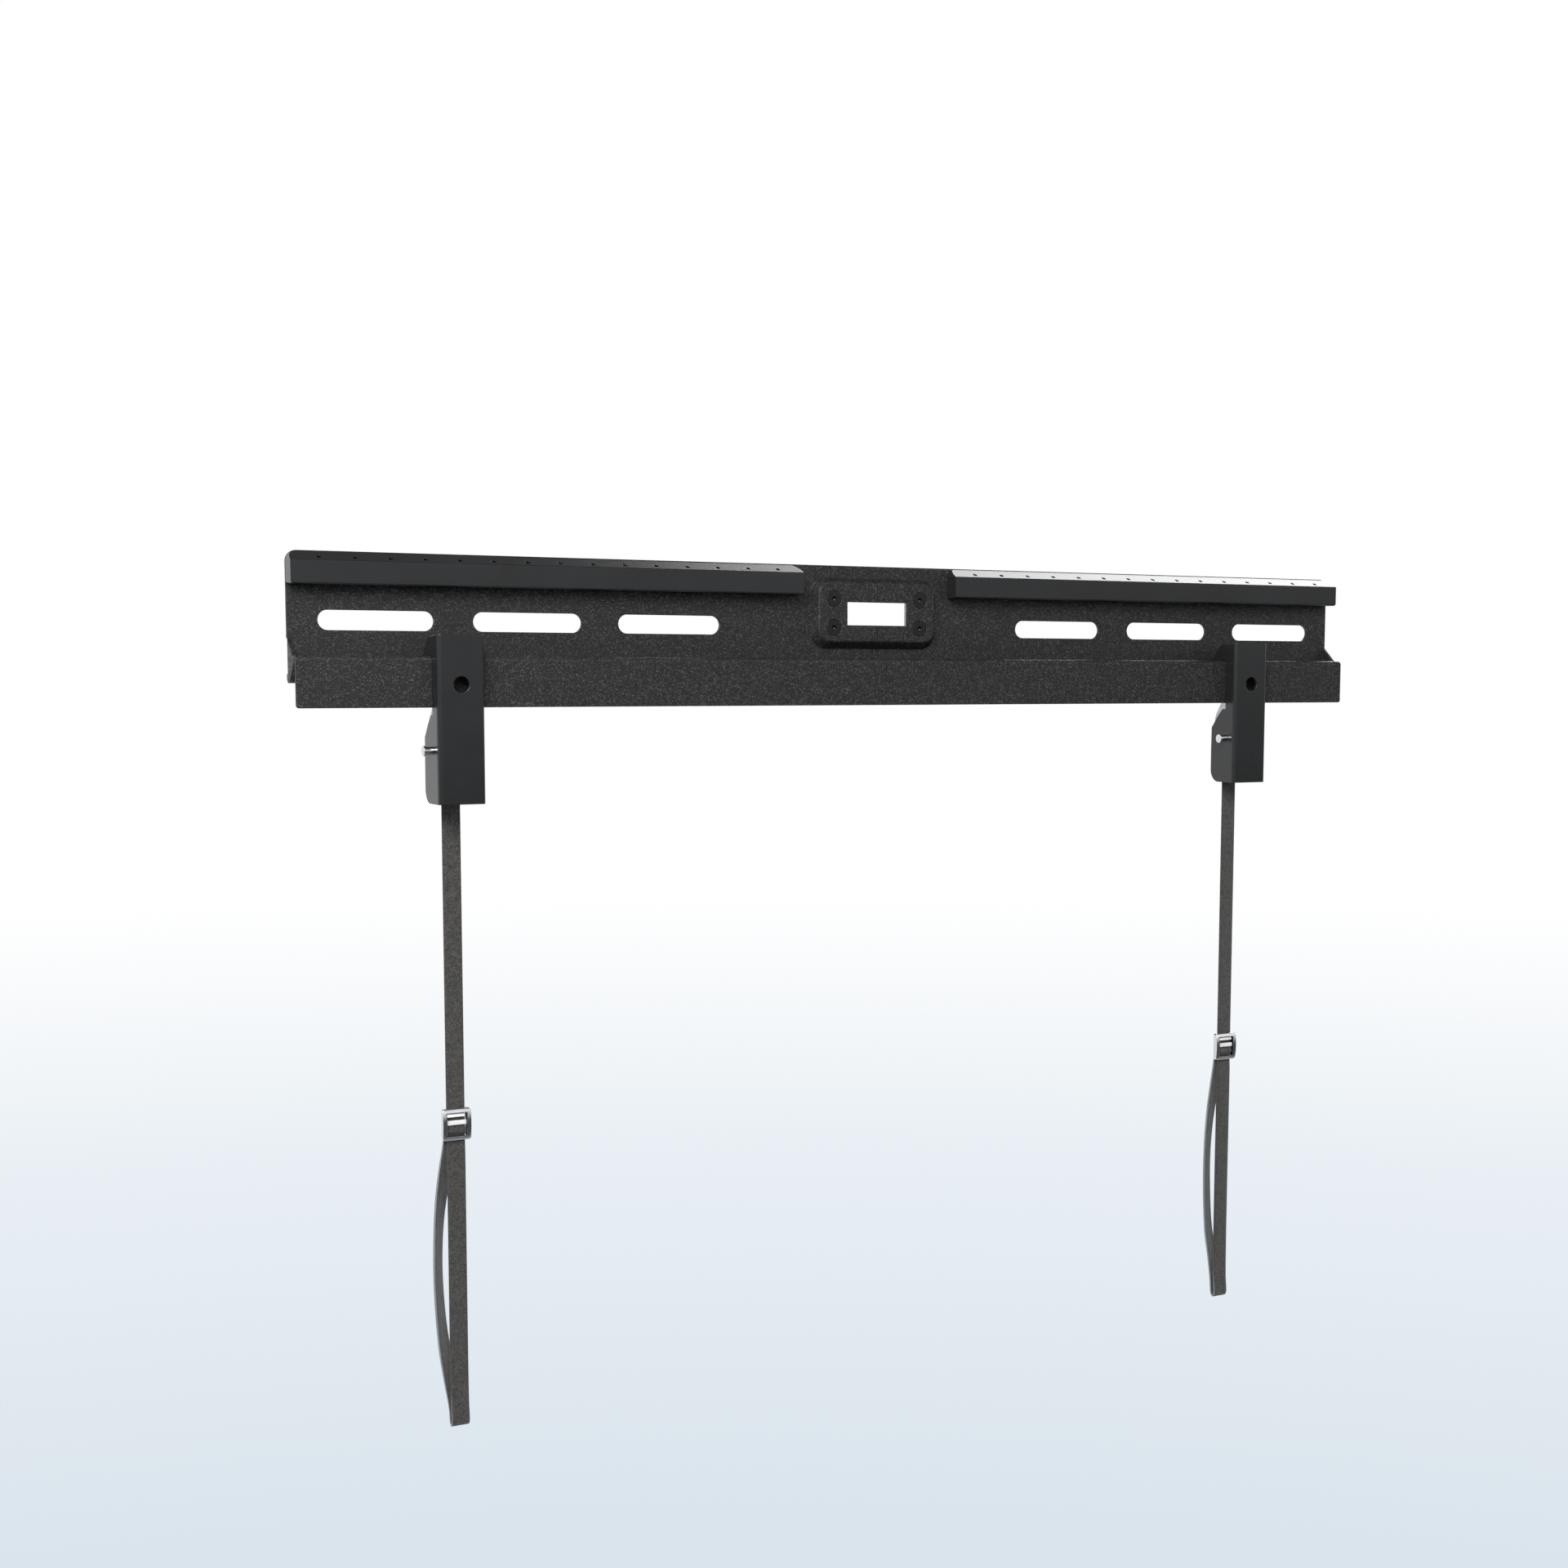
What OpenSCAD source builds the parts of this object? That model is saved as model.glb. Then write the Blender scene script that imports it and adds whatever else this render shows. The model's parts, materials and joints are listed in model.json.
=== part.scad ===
// Wall rail for a flat screen, with two hook brackets and their pull-strap latches.
// X runs along the rail, the wall is the plane Y = 0, the room lies at -Y,
// and the origin is on the wall between the two rail halves, level with the middle of the slots.

/* [Rail] */
// Length of one rail half
rail_half_l = 400; // [380:5:600]
// Gap at the seam between the two halves
seam_gap = 0.4; // [0.3:0.1:1]
// Sheet thickness of the rail
rail_t = 2; // [1.6:0.1:2.4]
// Height of the web above the middle of the slots
web_up = 40.8; // [39:0.2:50]
// Radius of the upper outer corner of the web
web_corner_r = 6.5; // [3:0.5:9]
// Depth of the lower bend's centre below the middle of the slots
groove_drop = 34.1; // [32:0.1:40]
// Distance of the lip fold's centre in front of the lower bend's centre
fold_reach = 13.95; // [12.5:0.05:16]
// Height of the lip fold's centre above the lower bend's centre
fold_rise = 10.1; // [9:0.1:12]
// Inner radius of the lower bend
groove_r = 1.5; // [1.2:0.1:2]
// Inner radius of the lip fold
fold_r = 0.8; // [0.5:0.1:1.2]
// Height of the lip below the fold's centre
lip_h = 28.3; // [24:0.1:32]
// Radius of the lip's end corners
lip_corner_r = 1.8; // [0.5:0.1:2.5]
// Height of the end tab's top below the middle of the slots
tab_drop = 11.2; // [9:0.1:14]
// Slit between the end tab and the slanted wall
tab_gap = 0.3; // [0.2:0.05:0.5]

/* [Slots] */
// Slots in each half
slot_count = 3; // [1:1:3]
// Length of a slot
slot_l = 72; // [40:1:80]
// Height of a slot
slot_h = 12; // [6:0.5:14]
// Spacing of the slots
slot_pitch = 97; // [85:1:100]
// Distance of the outer slot's middle from the rail's end
slot_inset = 54.5; // [50:0.5:70]

/* [Splice] */
// Half width of the pressed pad at its foot
pad_half_w = 48; // [46:0.5:52]
// Height of the pad's top edge above the middle of the slots
pad_up = 32.6; // [31:0.1:34]
// Depth of the pad's bottom edge below the middle of the slots
pad_down = 14.6; // [13:0.1:16]
// Height that the pad stands proud of the web
pad_proud = 6; // [5.5:0.1:7]
// Draft of the pad's sides and top
pad_draft = 2.6; // [1:0.1:3]
// Draft of the pad's bottom
pad_sill = 4.2; // [2:0.1:5]
// Corner radius at the pad's foot
pad_r = 10.5; // [8:0.5:12]
// Radius of the pad's front edge
pad_rim = 1.2; // [0.5:0.1:1.5]
// Width of the viewing window
window_w = 46.5; // [30:0.5:48]
// Height of the viewing window
window_h = 15.4; // [8:0.2:15.6]
// Height of the window's middle
window_z = 8.8; // [8.4:0.1:9.2]
// Spacing of the splice screws along the rail
screw_dx = 66.8; // [64:0.2:70]
// Spacing of the splice screws up the rail
screw_dz = 19.15; // [18.4:0.05:20]
// Height of the middle of the splice screws
screw_z = 8.9; // [8.6:0.1:9.2]
// Thread diameter of the splice screws
screw_d = 6; // [5:0.5:6]
// Head diameter of the splice screws
screw_head_d = 11; // [10:0.1:11.4]
// Width across the flats of the screws' socket
socket_af = 3; // [2.5:0.5:4]
// Thickness of the splice plate
plate_t = 2; // [1.5:0.1:2.2]
// Diameter of the splice nuts
nut_d = 9.6; // [9:0.1:10.4]

/* [Nail guides] */
// Gap between the pad's foot and a guide
guide_gap = 10.95; // [6:0.05:16]
// Depth of a guide in front of the web
guide_depth = 11.2; // [9:0.1:13]
// Height of a guide
guide_h = 19.8; // [18:0.1:20.5]
// Distance of a guide's top below the top of the web
guide_top = 0.3; // [0.1:0.1:1]
// Fall of a guide's sloped top towards the room
guide_fall = 5.9; // [4:0.1:7]
// Radius of a guide's front edges
guide_edge_r = 1; // [0.5:0.1:2]
// Radius of a guide's upper corners
guide_corner_r = 6; // [4:0.5:8]
// Radius of a guide's lower outer corner
guide_foot_r = 1.8; // [0.5:0.1:2.5]
// Diameter of the nail bores
nail_d = 3; // [2:0.1:3.5]
// Spacing of the nail bores, before it is evened out
nail_pitch = 21.83; // [18:0.1:30]
// Distance of the first nail bore from a guide's end
nail_inset = 17.94; // [12:0.1:22]
// Slope of the nails below the horizontal
nail_angle = 45; // [38:1:50]
// Diameter of the pegs that fix a guide in the web
peg_d = 5; // [3:0.1:5.5]

/* [Brackets] */
// Middle of the left bracket along the rail
left_x = -302.6; // [-340:0.1:-120]
// Middle of the right bracket along the rail
right_x = 304.4; // [120:0.1:340]
// Width of a bracket
bracket_w = 30; // [29:0.5:36]
// Sheet thickness of a bracket
bracket_t = 2; // [1.5:0.1:2]
// Outer bend radius of a bracket
bracket_r = 3; // [2.4:0.1:4]
// Distance of a bracket's face in front of the rail's lip
bracket_depth = 10.85; // [10:0.05:14]
// Height of a bracket above the rail's fold
bracket_rise = 13; // [11:0.1:16]
// Height of a bracket
bracket_h = 102.5; // [100:0.5:115]
// Gap between a bracket or latch and the rail
hook_clear = 0.3; // [0.3:0.05:0.5]
// Distance of a bracket's rear edge in front of the wall
rear_gap = 4.9; // [4:0.1:6]
// Diameter of the screen bolt's hole
bolt_hole_d = 10; // [6:0.5:12]
// Distance of the screen bolt's hole below the bracket's top
bolt_hole_drop = 30.2; // [20:0.1:36]

/* [Latches] */
// Diameter of the latch pin
pin_d = 5; // [4:0.1:5.5]
// Distance of the latch pin behind the bracket's face
pin_back = 9.8; // [9:0.1:11]
// Height of the latch pin above the bracket's bottom
pin_up = 32.4; // [30:0.1:34]
// Length of the latch pin outside the left flange
pin_out = 5.5; // [2:0.5:8]
// Head diameter of the latch pin
pin_head_d = 6.2; // [6:0.1:8]
// Head thickness of the latch pin
pin_head_t = 1; // [0.5:0.1:1.5]
// Outer diameter of the pin's clip
clip_d = 9; // [8:0.1:10]
// Sheet thickness of a latch
latch_t = 1.5; // [1:0.1:1.8]
// Side gap between a latch and the bracket's flanges
latch_side = 0.5; // [0.3:0.1:1]
// Height that a latch's nose reaches above the lip's lower edge
nose_up = 4; // [3:0.1:4.4]
// Distance of the strap pin in front of the wall
anchor_y = 7.5; // [7:0.1:8]
// Depth of the strap pin below the latch pin
anchor_drop = 11.7; // [11:0.1:13]
// Diameter of the strap pin
anchor_d = 4; // [3:0.1:4]
// Wire diameter of the latch spring
spring_wire = 1; // [0.8:0.1:1.2]
// Mean coil diameter of the latch spring
spring_d = 7.8; // [7.6:0.1:9]
// Whole turns of the latch spring
spring_turns = 5; // [3:1:6]

/* [Straps] */
// Width of the strap webbing
strap_w = 12; // [10:0.5:12]
// Thickness of the strap webbing
strap_t = 1.5; // [1.2:0.1:1.5]
// Width of a buckle
buckle_w = 18.5; // [18:0.1:22]
// Height of a buckle
buckle_h = 20; // [19:0.1:22]
// Height of the crown on a buckle's front
buckle_crown = 1.2; // [0.5:0.1:1.5]
// Thickness of a buckle's top and bottom bars
buckle_bar_t = 1.8; // [1.5:0.1:2]
// Width of a buckle's side rails
buckle_rail = 2.9; // [2:0.1:2.9]
// Depth of a buckle's upper edge below the middle of the slots
buckle_drop = 301; // [296:0.5:306]
// Length of the hand loop below the buckle's top
loop_l = 203; // [180:1:240]

/* [Hidden] */
$fn = 48;
// Fine and coarse steps on rounded outlines
arc_steps = 8;
// A cutter's reach past a face
over = 1;
// Radial gap of a pin in its hole
fit = 0.05;
// Gap between loose pieces of one assembly
loose = 0.2;

// Rail section, with the wall at Y = 0
web_y = -rail_t;
groove_c = [web_y - groove_r, -groove_drop];
fold_c = groove_c + [-fold_reach, fold_rise];
reach = norm(fold_c - groove_c);
slope = atan2(fold_reach, fold_rise) - asin((groove_r + rail_t + fold_r) / reach);
// Unit vectors out of the slanted wall, downwards, and up along it
slant_n = [-cos(slope), -sin(slope)];
slant_u = [-sin(slope), cos(slope)];
slant_l = (fold_c - groove_c) * slant_u;
fold_out = fold_r + rail_t;
lip_front = fold_c[0] - fold_out;
lip_back = fold_c[0] - fold_r;
lip_z = fold_c[1] - lip_h;
fold_top = fold_c[1] + fold_out;

// Splice pad
pad_y = web_y - pad_proud;
plate_y = pad_y + rail_t;
nut_y = plate_y + plate_t;
nut_l = -nut_y - 0.4;
screw_l = -pad_y - 0.5;
countersink = rail_t + 0.3;
sink_d = screw_head_d + 2 * loose;
socket_depth = 1.8;

// Nail guides
guide_x0 = pad_half_w + guide_gap;
guide_l = rail_half_l - guide_x0;
guide_z = web_up - guide_top;
guide_y = web_y - guide_depth;
nail_gaps = round((guide_l - 2 * nail_inset) / nail_pitch);
nail_step = (guide_l - 2 * nail_inset) / nail_gaps;
nail_y = web_y - 0.66 * guide_depth;
nail_z = guide_z - 0.66 * guide_fall;
peg_count = 4;
peg_z = guide_z - guide_h + peg_d / 2 + 1.2;

// Brackets
face_y = lip_front - bracket_depth;
bracket_z1 = fold_top + bracket_rise;
bracket_z0 = bracket_z1 - bracket_h;
bracket_in = bracket_w / 2 - bracket_t;
bolt_z = bracket_z1 - bolt_hole_drop;
tooth_y = web_y - 2.5;
rear_y = -rear_gap;

// Latches
pin_p = [face_y + pin_back, bracket_z0 + pin_up];
anchor_p = [-anchor_y, pin_p[1] - anchor_drop];
latch_out = bracket_in - latch_side;
nose_z = lip_z + nose_up;
nose_y = lip_back + hook_clear;
clip_t = 0.8;
pin_end = bracket_w / 2 + loose + clip_t + 0.5;

// Straps
strand_y = -anchor_y;
buckle_z = -buckle_drop;
bar_in = buckle_w / 2 - buckle_rail;
bar_back = strand_y - strap_t / 2 - loose;
bar_t = 1.4;
bar_h = 2.8;
bar_drop = 7.6;
// Heights of a buckle's top and bottom bars, and of the lip below its top bar
top_bar_h = 3;
foot_bar_h = 2.5;
brow_h = 2.2;
buckle_corner_r = 1.5;

// Points of an arc about c, from angle a to angle b
function arc(c, r, a, b, n = arc_steps) =
  [for (i = [0:n]) c + r * [cos(a + (b - a) * i / n), sin(a + (b - a) * i / n)]];

// Draws a Y-Z outline from x0 to x1
module along_x(x0, x1) {
  translate([x0, 0, 0])
    rotate([90, 0, 90])
      linear_extrude(x1 - x0)
        children();
}

// Draws an X-Z outline from y0 back to y1
module along_y(y0, y1) {
  translate([0, y1, 0])
    rotate([90, 0, 0])
      linear_extrude(y1 - y0)
        children();
}

// A rectangle between two corners, with rounded corners
module plate_2d(x0, z0, x1, z1, r) {
  for (x = [x0 + r, x1 - r], z = [z0 + r, z1 - r])
    translate([x, z])
      circle(r);
  translate([x0 + r, z0])
    square([x1 - x0 - 2 * r, z1 - z0]);
  translate([x0, z0 + r])
    square([x1 - x0, z1 - z0 - 2 * r]);
}

// What a rounded corner takes away, the corner being at the origin and the solid at -X and -Y
module corner_2d(r) {
  difference() {
    translate([-r, -r])
      square(r + over);
    translate([-r, -r])
      circle(r);
  }
}

// Section of the folded sheet: web, lower bend, slanted wall, fold and lip
module rail_section() {
  polygon(concat(
    [[0, web_up], [web_y, web_up]],
    arc(groove_c, groove_r, 0, slope - 180),
    arc(fold_c, fold_out, slope, 180),
    [[lip_front, lip_z], [lip_back, lip_z]],
    arc(fold_c, fold_r, 180, slope),
    arc(groove_c, groove_r + rail_t, slope + 180, 360)
  ));
}

// Outline of the end tab, which grows out of the slanted wall's outer side by the given amount
module tab_2d(grow) {
  foot = groove_c + (groove_r + rail_t + grow) * slant_n;
  polygon(concat(
    [[web_y, -tab_drop], foot + (slant_l - 2 * tab_gap + grow) * slant_u, foot],
    arc(groove_c, groove_r + rail_t + grow, slope + 180, 270),
    [[web_y, -groove_drop - groove_r - rail_t - grow]]
  ));
}

// End tab, folded out of the web to cover the groove's end
module end_tab() {
  along_x(rail_half_l - rail_t, rail_half_l) {
    tab_2d(0);
    polygon(concat([[web_y - 0.1, -tab_drop]], arc(groove_c, groove_r + rail_t, 270, 360), [[0, -tab_drop]]));
  }
}

// Slit between the end tab and the slanted wall that it covers
module tab_slit() {
  inner = groove_c + (groove_r - 0.2) * slant_n + (slant_l - 2 * tab_gap) * slant_u;
  outer = inner + (rail_t + 0.4) * slant_n;
  along_x(rail_half_l - rail_t - tab_gap, rail_half_l - rail_t)
    tab_2d(tab_gap);
  along_x(rail_half_l - rail_t - tab_gap, rail_half_l + over)
    polygon([inner, outer, outer + tab_gap * slant_u, inner + tab_gap * slant_u]);
}

// The pressed pad from foot to face, with a rounded rim, drawn in by the sheet for its inner side
module pad_solid(y_foot, y_face, inset) {
  rim = pad_rim - inset / 4;
  hull() {
    along_y(y_foot, y_foot + 1)
      plate_2d(
        -pad_half_w + inset, -pad_down + inset, pad_half_w - inset, pad_up - inset,
        pad_r - inset / 2, $fn = 32
      );
    for (a = [0, 45, 90]) {
      x = pad_draft + inset + rim * (1 - cos(a));
      y = y_face + rim * (1 - sin(a));
      along_y(y, y + 0.01)
        plate_2d(
          -pad_half_w + x, -pad_down + pad_sill - pad_draft + x, pad_half_w - x, pad_up - x,
          pad_r - 2 - inset / 2, $fn = 32
        );
    }
  }
}

module slot_2d() {
  translate([-(slot_l - slot_h) / 2, 0])
    circle(slot_h / 2);
  translate([(slot_l - slot_h) / 2, 0])
    circle(slot_h / 2);
  translate([-(slot_l - slot_h) / 2, -slot_h / 2])
    square([slot_l - slot_h, slot_h]);
}

module at_splice_screws(side = 0) {
  for (sx = side == 0 ? [-1, 1] : [side], sz = [-1, 1])
    translate([sx * screw_dx / 2, 0, screw_z + sz * screw_dz / 2])
      rotate([-90, 0, 0])
        children();
}

module at_nails() {
  for (i = [0:nail_gaps])
    translate([guide_x0 + nail_inset + i * nail_step, nail_y, nail_z])
      rotate([-90 - nail_angle, 0, 0])
        children();
}

module at_pegs() {
  for (i = [0:peg_count - 1])
    translate([guide_x0 + guide_l * (i + 0.5) / peg_count, 0, peg_z])
      rotate([90, 0, 0])
        children();
}

// One rail half, drawn on the right
module rail_half() {
  x0 = seam_gap / 2;
  difference() {
    union() {
      along_x(x0, rail_half_l)
        rail_section();
      intersection() {
        pad_solid(web_y, pad_y, 0);
        translate([x0, pad_y - over, -pad_down - over])
          cube([pad_half_w + over, pad_proud + rail_t + over, pad_up + pad_down + 2 * over]);
      }
      end_tab();
    }
    pad_solid(0, plate_y, rail_t);
    along_y(pad_y - over, over)
      translate([-window_w / 2, window_z - window_h / 2])
        square([window_w, window_h]);
    for (i = [0:slot_count - 1])
      along_y(web_y - over, over)
        translate([rail_half_l - slot_inset - i * slot_pitch, 0])
          slot_2d();
    // Countersunk holes of the splice screws
    at_splice_screws(1)
      translate([0, 0, pad_y])
        cylinder(d1 = sink_d, d2 = sink_d - 2 * countersink, h = countersink);
    at_nails()
      cylinder(d = nail_d + 1, h = 3 * guide_depth);
    at_pegs()
      translate([0, 0, -over])
        cylinder(d = peg_d + 2 * loose, h = rail_t + 2 * over);
    along_y(web_y - over, over)
      translate([rail_half_l, web_up])
        corner_2d(web_corner_r);
    along_y(lip_front - over, lip_back + over)
      translate([rail_half_l, lip_z])
        mirror([0, 1])
          corner_2d(lip_corner_r);
    along_y(lip_front - over, fold_c[0])
      translate([rail_half_l, fold_top])
        corner_2d(lip_corner_r);
    // Round back of the end tab's fold
    translate([0, 0, -groove_drop + 2])
      linear_extrude(groove_drop - 2 - tab_drop)
        translate([rail_half_l, 0])
          corner_2d(rail_t + 0.4);
    tab_slit();
  }
}

module rail_left() {
  color("#35373a")
    mirror([1, 0, 0])
      rail_half();
}

module rail_right() {
  color("#35373a")
    rail_half();
}

// Moulded strip with sloping nail bores, pegged in the web, drawn on the right
module guide_half() {
  r = guide_edge_r;
  low_z = guide_z - guide_h;
  fall_a = atan2(guide_fall, guide_depth);
  // The upper front edge is rounded between the slope and the front
  nose_c = [guide_y + r, guide_z - guide_fall - r * tan(45 - fall_a / 2) + 0.2];
  difference() {
    union() {
      intersection() {
        along_x(guide_x0, rail_half_l)
          polygon(concat(
            [[web_y, low_z], [web_y, guide_z]],
            arc(nose_c, r, 90 + fall_a, 180),
            arc([guide_y + r, low_z + r], r, 180, 270)
          ));
        along_y(guide_y - over, 0) {
          plate_2d(guide_x0, low_z, rail_half_l, guide_z, guide_corner_r);
          translate([guide_x0, low_z])
            square([guide_l, guide_h / 2]);
        }
      }
      at_pegs()
        translate([0, 0, 0.2])
          cylinder(d = peg_d, h = rail_t);
    }
    along_y(guide_y - over, 0)
      translate([rail_half_l, low_z])
        mirror([0, 1])
          corner_2d(guide_foot_r);
    at_nails()
      translate([0, 0, -guide_depth])
        cylinder(d = nail_d, h = 4 * guide_depth);
  }
}

module nail_guide_left() {
  color("#2f3134")
    mirror([1, 0, 0])
      guide_half();
}

module nail_guide_right() {
  color("#2f3134")
    guide_half();
}

// Flat plate behind the pad, which joins the two halves
module splice_plate() {
  edge = pad_draft + rail_t + pad_rim - rail_t / 4 + 2 * loose;
  color("#8b8f94")
    difference() {
      along_y(plate_y, nut_y)
        plate_2d(
          -pad_half_w + edge, -pad_down + pad_sill - pad_draft + edge,
          pad_half_w - edge, pad_up - edge, pad_r - 3
        );
      along_y(plate_y - over, nut_y + over)
        translate([-window_w / 2, window_z - window_h / 2])
          square([window_w, window_h]);
      at_splice_screws()
        translate([0, 0, plate_y - over])
          cylinder(d = screw_d + 1.2, h = plate_t + 2 * over);
    }
}

module splice_nuts() {
  color("#a5a9ad")
    at_splice_screws()
      translate([0, 0, nut_y])
        difference() {
          cylinder(d = nut_d, h = nut_l);
          translate([0, 0, -over])
            cylinder(d = screw_d + 2 * fit, h = nut_l + 2 * over);
        }
}

// Countersunk socket screws, flush with the pad
module splice_screws() {
  head_h = (screw_head_d - screw_d) / 2;
  color("#202224")
    at_splice_screws()
      translate([0, 0, pad_y])
        difference() {
          rotate_extrude()
            polygon([
              [0, 0.1], [screw_head_d / 2 - 0.1, 0.1],
              [screw_d / 2, head_h], [screw_d / 2, screw_l], [0, screw_l]
            ]);
          translate([0, 0, -over])
            cylinder(d = socket_af / cos(30), h = socket_depth + over, $fn = 6);
          translate([0, 0, socket_depth])
            cylinder(d1 = socket_af, d2 = 0, h = socket_af / 3);
        }
}

// Side outline of a bracket's flange: it hooks over the fold and reaches down into the groove
module flange_2d() {
  hook = groove_c + (groove_r - hook_clear) * slant_n;
  heel_r = 9;
  polygon(concat(
    [[face_y, bracket_z1], [fold_c[0] + 3.4, bracket_z1 - 1.5], [tooth_y, fold_top + 0.5]],
    [[tooth_y, hook[1] + 2.3], [tooth_y - 1, hook[1] + 1.9], hook + 2.6 * slant_u],
    arc(fold_c, fold_out + hook_clear, slope, 180),
    [[lip_front - hook_clear, lip_z - 4.4], [lip_back + 1.3, lip_z - 4.5], [lip_back + 6.9, lip_z - 10.5]],
    [[rear_y - 0.3, lip_z - 18.2], [rear_y, pin_p[1] - 8]],
    arc([rear_y - heel_r, bracket_z0 + heel_r], heel_r, 0, -80),
    [[face_y, bracket_z0]]
  ));
}

// Channel section of a bracket, open towards the wall
module channel_2d() {
  w = bracket_w / 2;
  inner_r = bracket_r - bracket_t;
  left_c = [-w + bracket_r, face_y + bracket_r];
  right_c = [w - bracket_r, face_y + bracket_r];
  polygon(concat(
    arc(left_c, bracket_r, 180, 270),
    arc(right_c, bracket_r, 270, 360),
    [[w, 0], [w - bracket_t, 0]],
    arc(right_c, inner_r, 360, 270),
    arc(left_c, inner_r, 270, 180),
    [[-w + bracket_t, 0], [-w, 0]]
  ));
}

module bracket(x) {
  color("#303235")
    translate([x, 0, 0])
      difference() {
        intersection() {
          translate([0, 0, bracket_z0])
            linear_extrude(bracket_h)
              channel_2d();
          along_x(-bracket_w / 2, bracket_w / 2)
            flange_2d();
        }
        translate([0, face_y - over, bolt_z])
          rotate([-90, 0, 0])
            cylinder(d = bolt_hole_d, h = bracket_t + 2 * over);
        translate([-bracket_w / 2 - over, pin_p[0], pin_p[1]])
          rotate([0, 90, 0])
            cylinder(d = pin_d + 2 * fit, h = bracket_w + 2 * over);
      }
}

module bracket_left() {
  bracket(left_x);
}

module bracket_right() {
  bracket(right_x);
}

// Side outline of a latch: nose behind the lip, eye on the pin, rear arm to the strap pin
module latch_2d() {
  eye_r = pin_d / 2 + 2.5;
  arm_r = anchor_d / 2 + 2.3;
  back_y = -anchor_y + 2;
  neck_l = 10;
  polygon(concat(
    [[nose_y, lip_z - neck_l]],
    arc([nose_y + 1, nose_z - 1], 1, 180, 70),
    [[nose_y + 5.95, nose_z - 4.9], [nose_y + 10.4, nose_z - 11.5], [back_y - 0.8, nose_z - 14.4]],
    [[back_y, nose_z - 18], [back_y, anchor_p[1] + 6]],
    arc(anchor_p, arm_r, 30, -120),
    arc(pin_p, eye_r, 250, 70)
  ));
}

// Folded lever: two cheeks joined by a rear wall
module latch(x) {
  back_y = -anchor_y + 2;
  wall_z1 = nose_z - 18;
  wall_z0 = anchor_p[1] + 6.5;
  color("#b9bcc0")
    translate([x, 0, 0])
      difference() {
        intersection() {
          along_x(-latch_out, latch_out)
            latch_2d();
          union() {
            for (sx = [0, 1])
              mirror([sx, 0, 0])
                translate([latch_out - latch_t, face_y, bracket_z0])
                  cube([latch_t + over, -face_y, bracket_h]);
            translate([-latch_out, back_y - latch_t, wall_z0])
              cube([2 * latch_out, latch_t + over, wall_z1 - wall_z0]);
          }
        }
        translate([-latch_out - over, pin_p[0], pin_p[1]])
          rotate([0, 90, 0])
            cylinder(d = pin_d + 2 * fit, h = 2 * latch_out + 2 * over);
        translate([-latch_out - over, anchor_p[0], anchor_p[1]])
          rotate([0, 90, 0])
            cylinder(d = anchor_d + 2 * fit, h = 2 * latch_out + 2 * over);
      }
}

module latch_left() {
  latch(left_x);
}

module latch_right() {
  latch(right_x);
}

// Headed pin, grooved at its right end for the clip
module latch_pin(x) {
  groove_x = bracket_w / 2 + loose;
  color("#d7dade")
    translate([x, pin_p[0], pin_p[1]])
      rotate([0, 90, 0])
        difference() {
          union() {
            translate([0, 0, -bracket_w / 2 - pin_out])
              cylinder(d = pin_d, h = bracket_w / 2 + pin_out + pin_end);
            translate([0, 0, -bracket_w / 2 - pin_out - pin_head_t])
              cylinder(d = pin_head_d, h = pin_head_t);
          }
          translate([0, 0, groove_x - 0.05])
            difference() {
              cylinder(d = pin_d + over, h = clip_t + 0.1);
              translate([0, 0, -over])
                cylinder(d = pin_d - 1, h = clip_t + 2 * over);
            }
        }
}

module latch_pin_left() {
  latch_pin(left_x);
}

module latch_pin_right() {
  latch_pin(right_x);
}

// Open spring clip in the pin's groove
module pin_clip(x) {
  color("#6f7276")
    translate([x + bracket_w / 2 + loose, pin_p[0], pin_p[1]])
      rotate([0, 90, 0])
        linear_extrude(clip_t)
          difference() {
            circle(d = clip_d);
            circle(d = pin_d - 1 + 2 * fit);
            translate([0, -pin_d / 2 + 0.7])
              square([clip_d, pin_d - 1.4]);
          }
}

module pin_clip_left() {
  pin_clip(left_x);
}

module pin_clip_right() {
  pin_clip(right_x);
}

// Riveted pin that carries the strap
module strap_pin(x) {
  color("#c9ccd0")
    translate([x - latch_out, anchor_p[0], anchor_p[1]])
      rotate([0, 90, 0])
        cylinder(d = anchor_d, h = 2 * latch_out);
}

module strap_pin_left() {
  strap_pin(left_x);
}

module strap_pin_right() {
  strap_pin(right_x);
}

// Triangles between rings of n points each, and over both ends
function skin_faces(rings, n) = concat(
  [for (i = [0:rings - 2], j = [0:n - 1]) [i * n + j, i * n + (j + 1) % n, (i + 1) * n + (j + 1) % n]],
  [for (i = [0:rings - 2], j = [0:n - 1]) [i * n + j, (i + 1) * n + (j + 1) % n, (i + 1) * n + j]],
  [for (j = [1:n - 2]) [0, j + 1, j]],
  [for (j = [1:n - 2]) [(rings - 1) * n, (rings - 1) * n + j, (rings - 1) * n + j + 1]]
);

function unit(v) = v / norm(v);

function tangent(path, i) =
  unit(path[min(i + 1, len(path) - 1)] - path[max(i - 1, 0)]);

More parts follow.
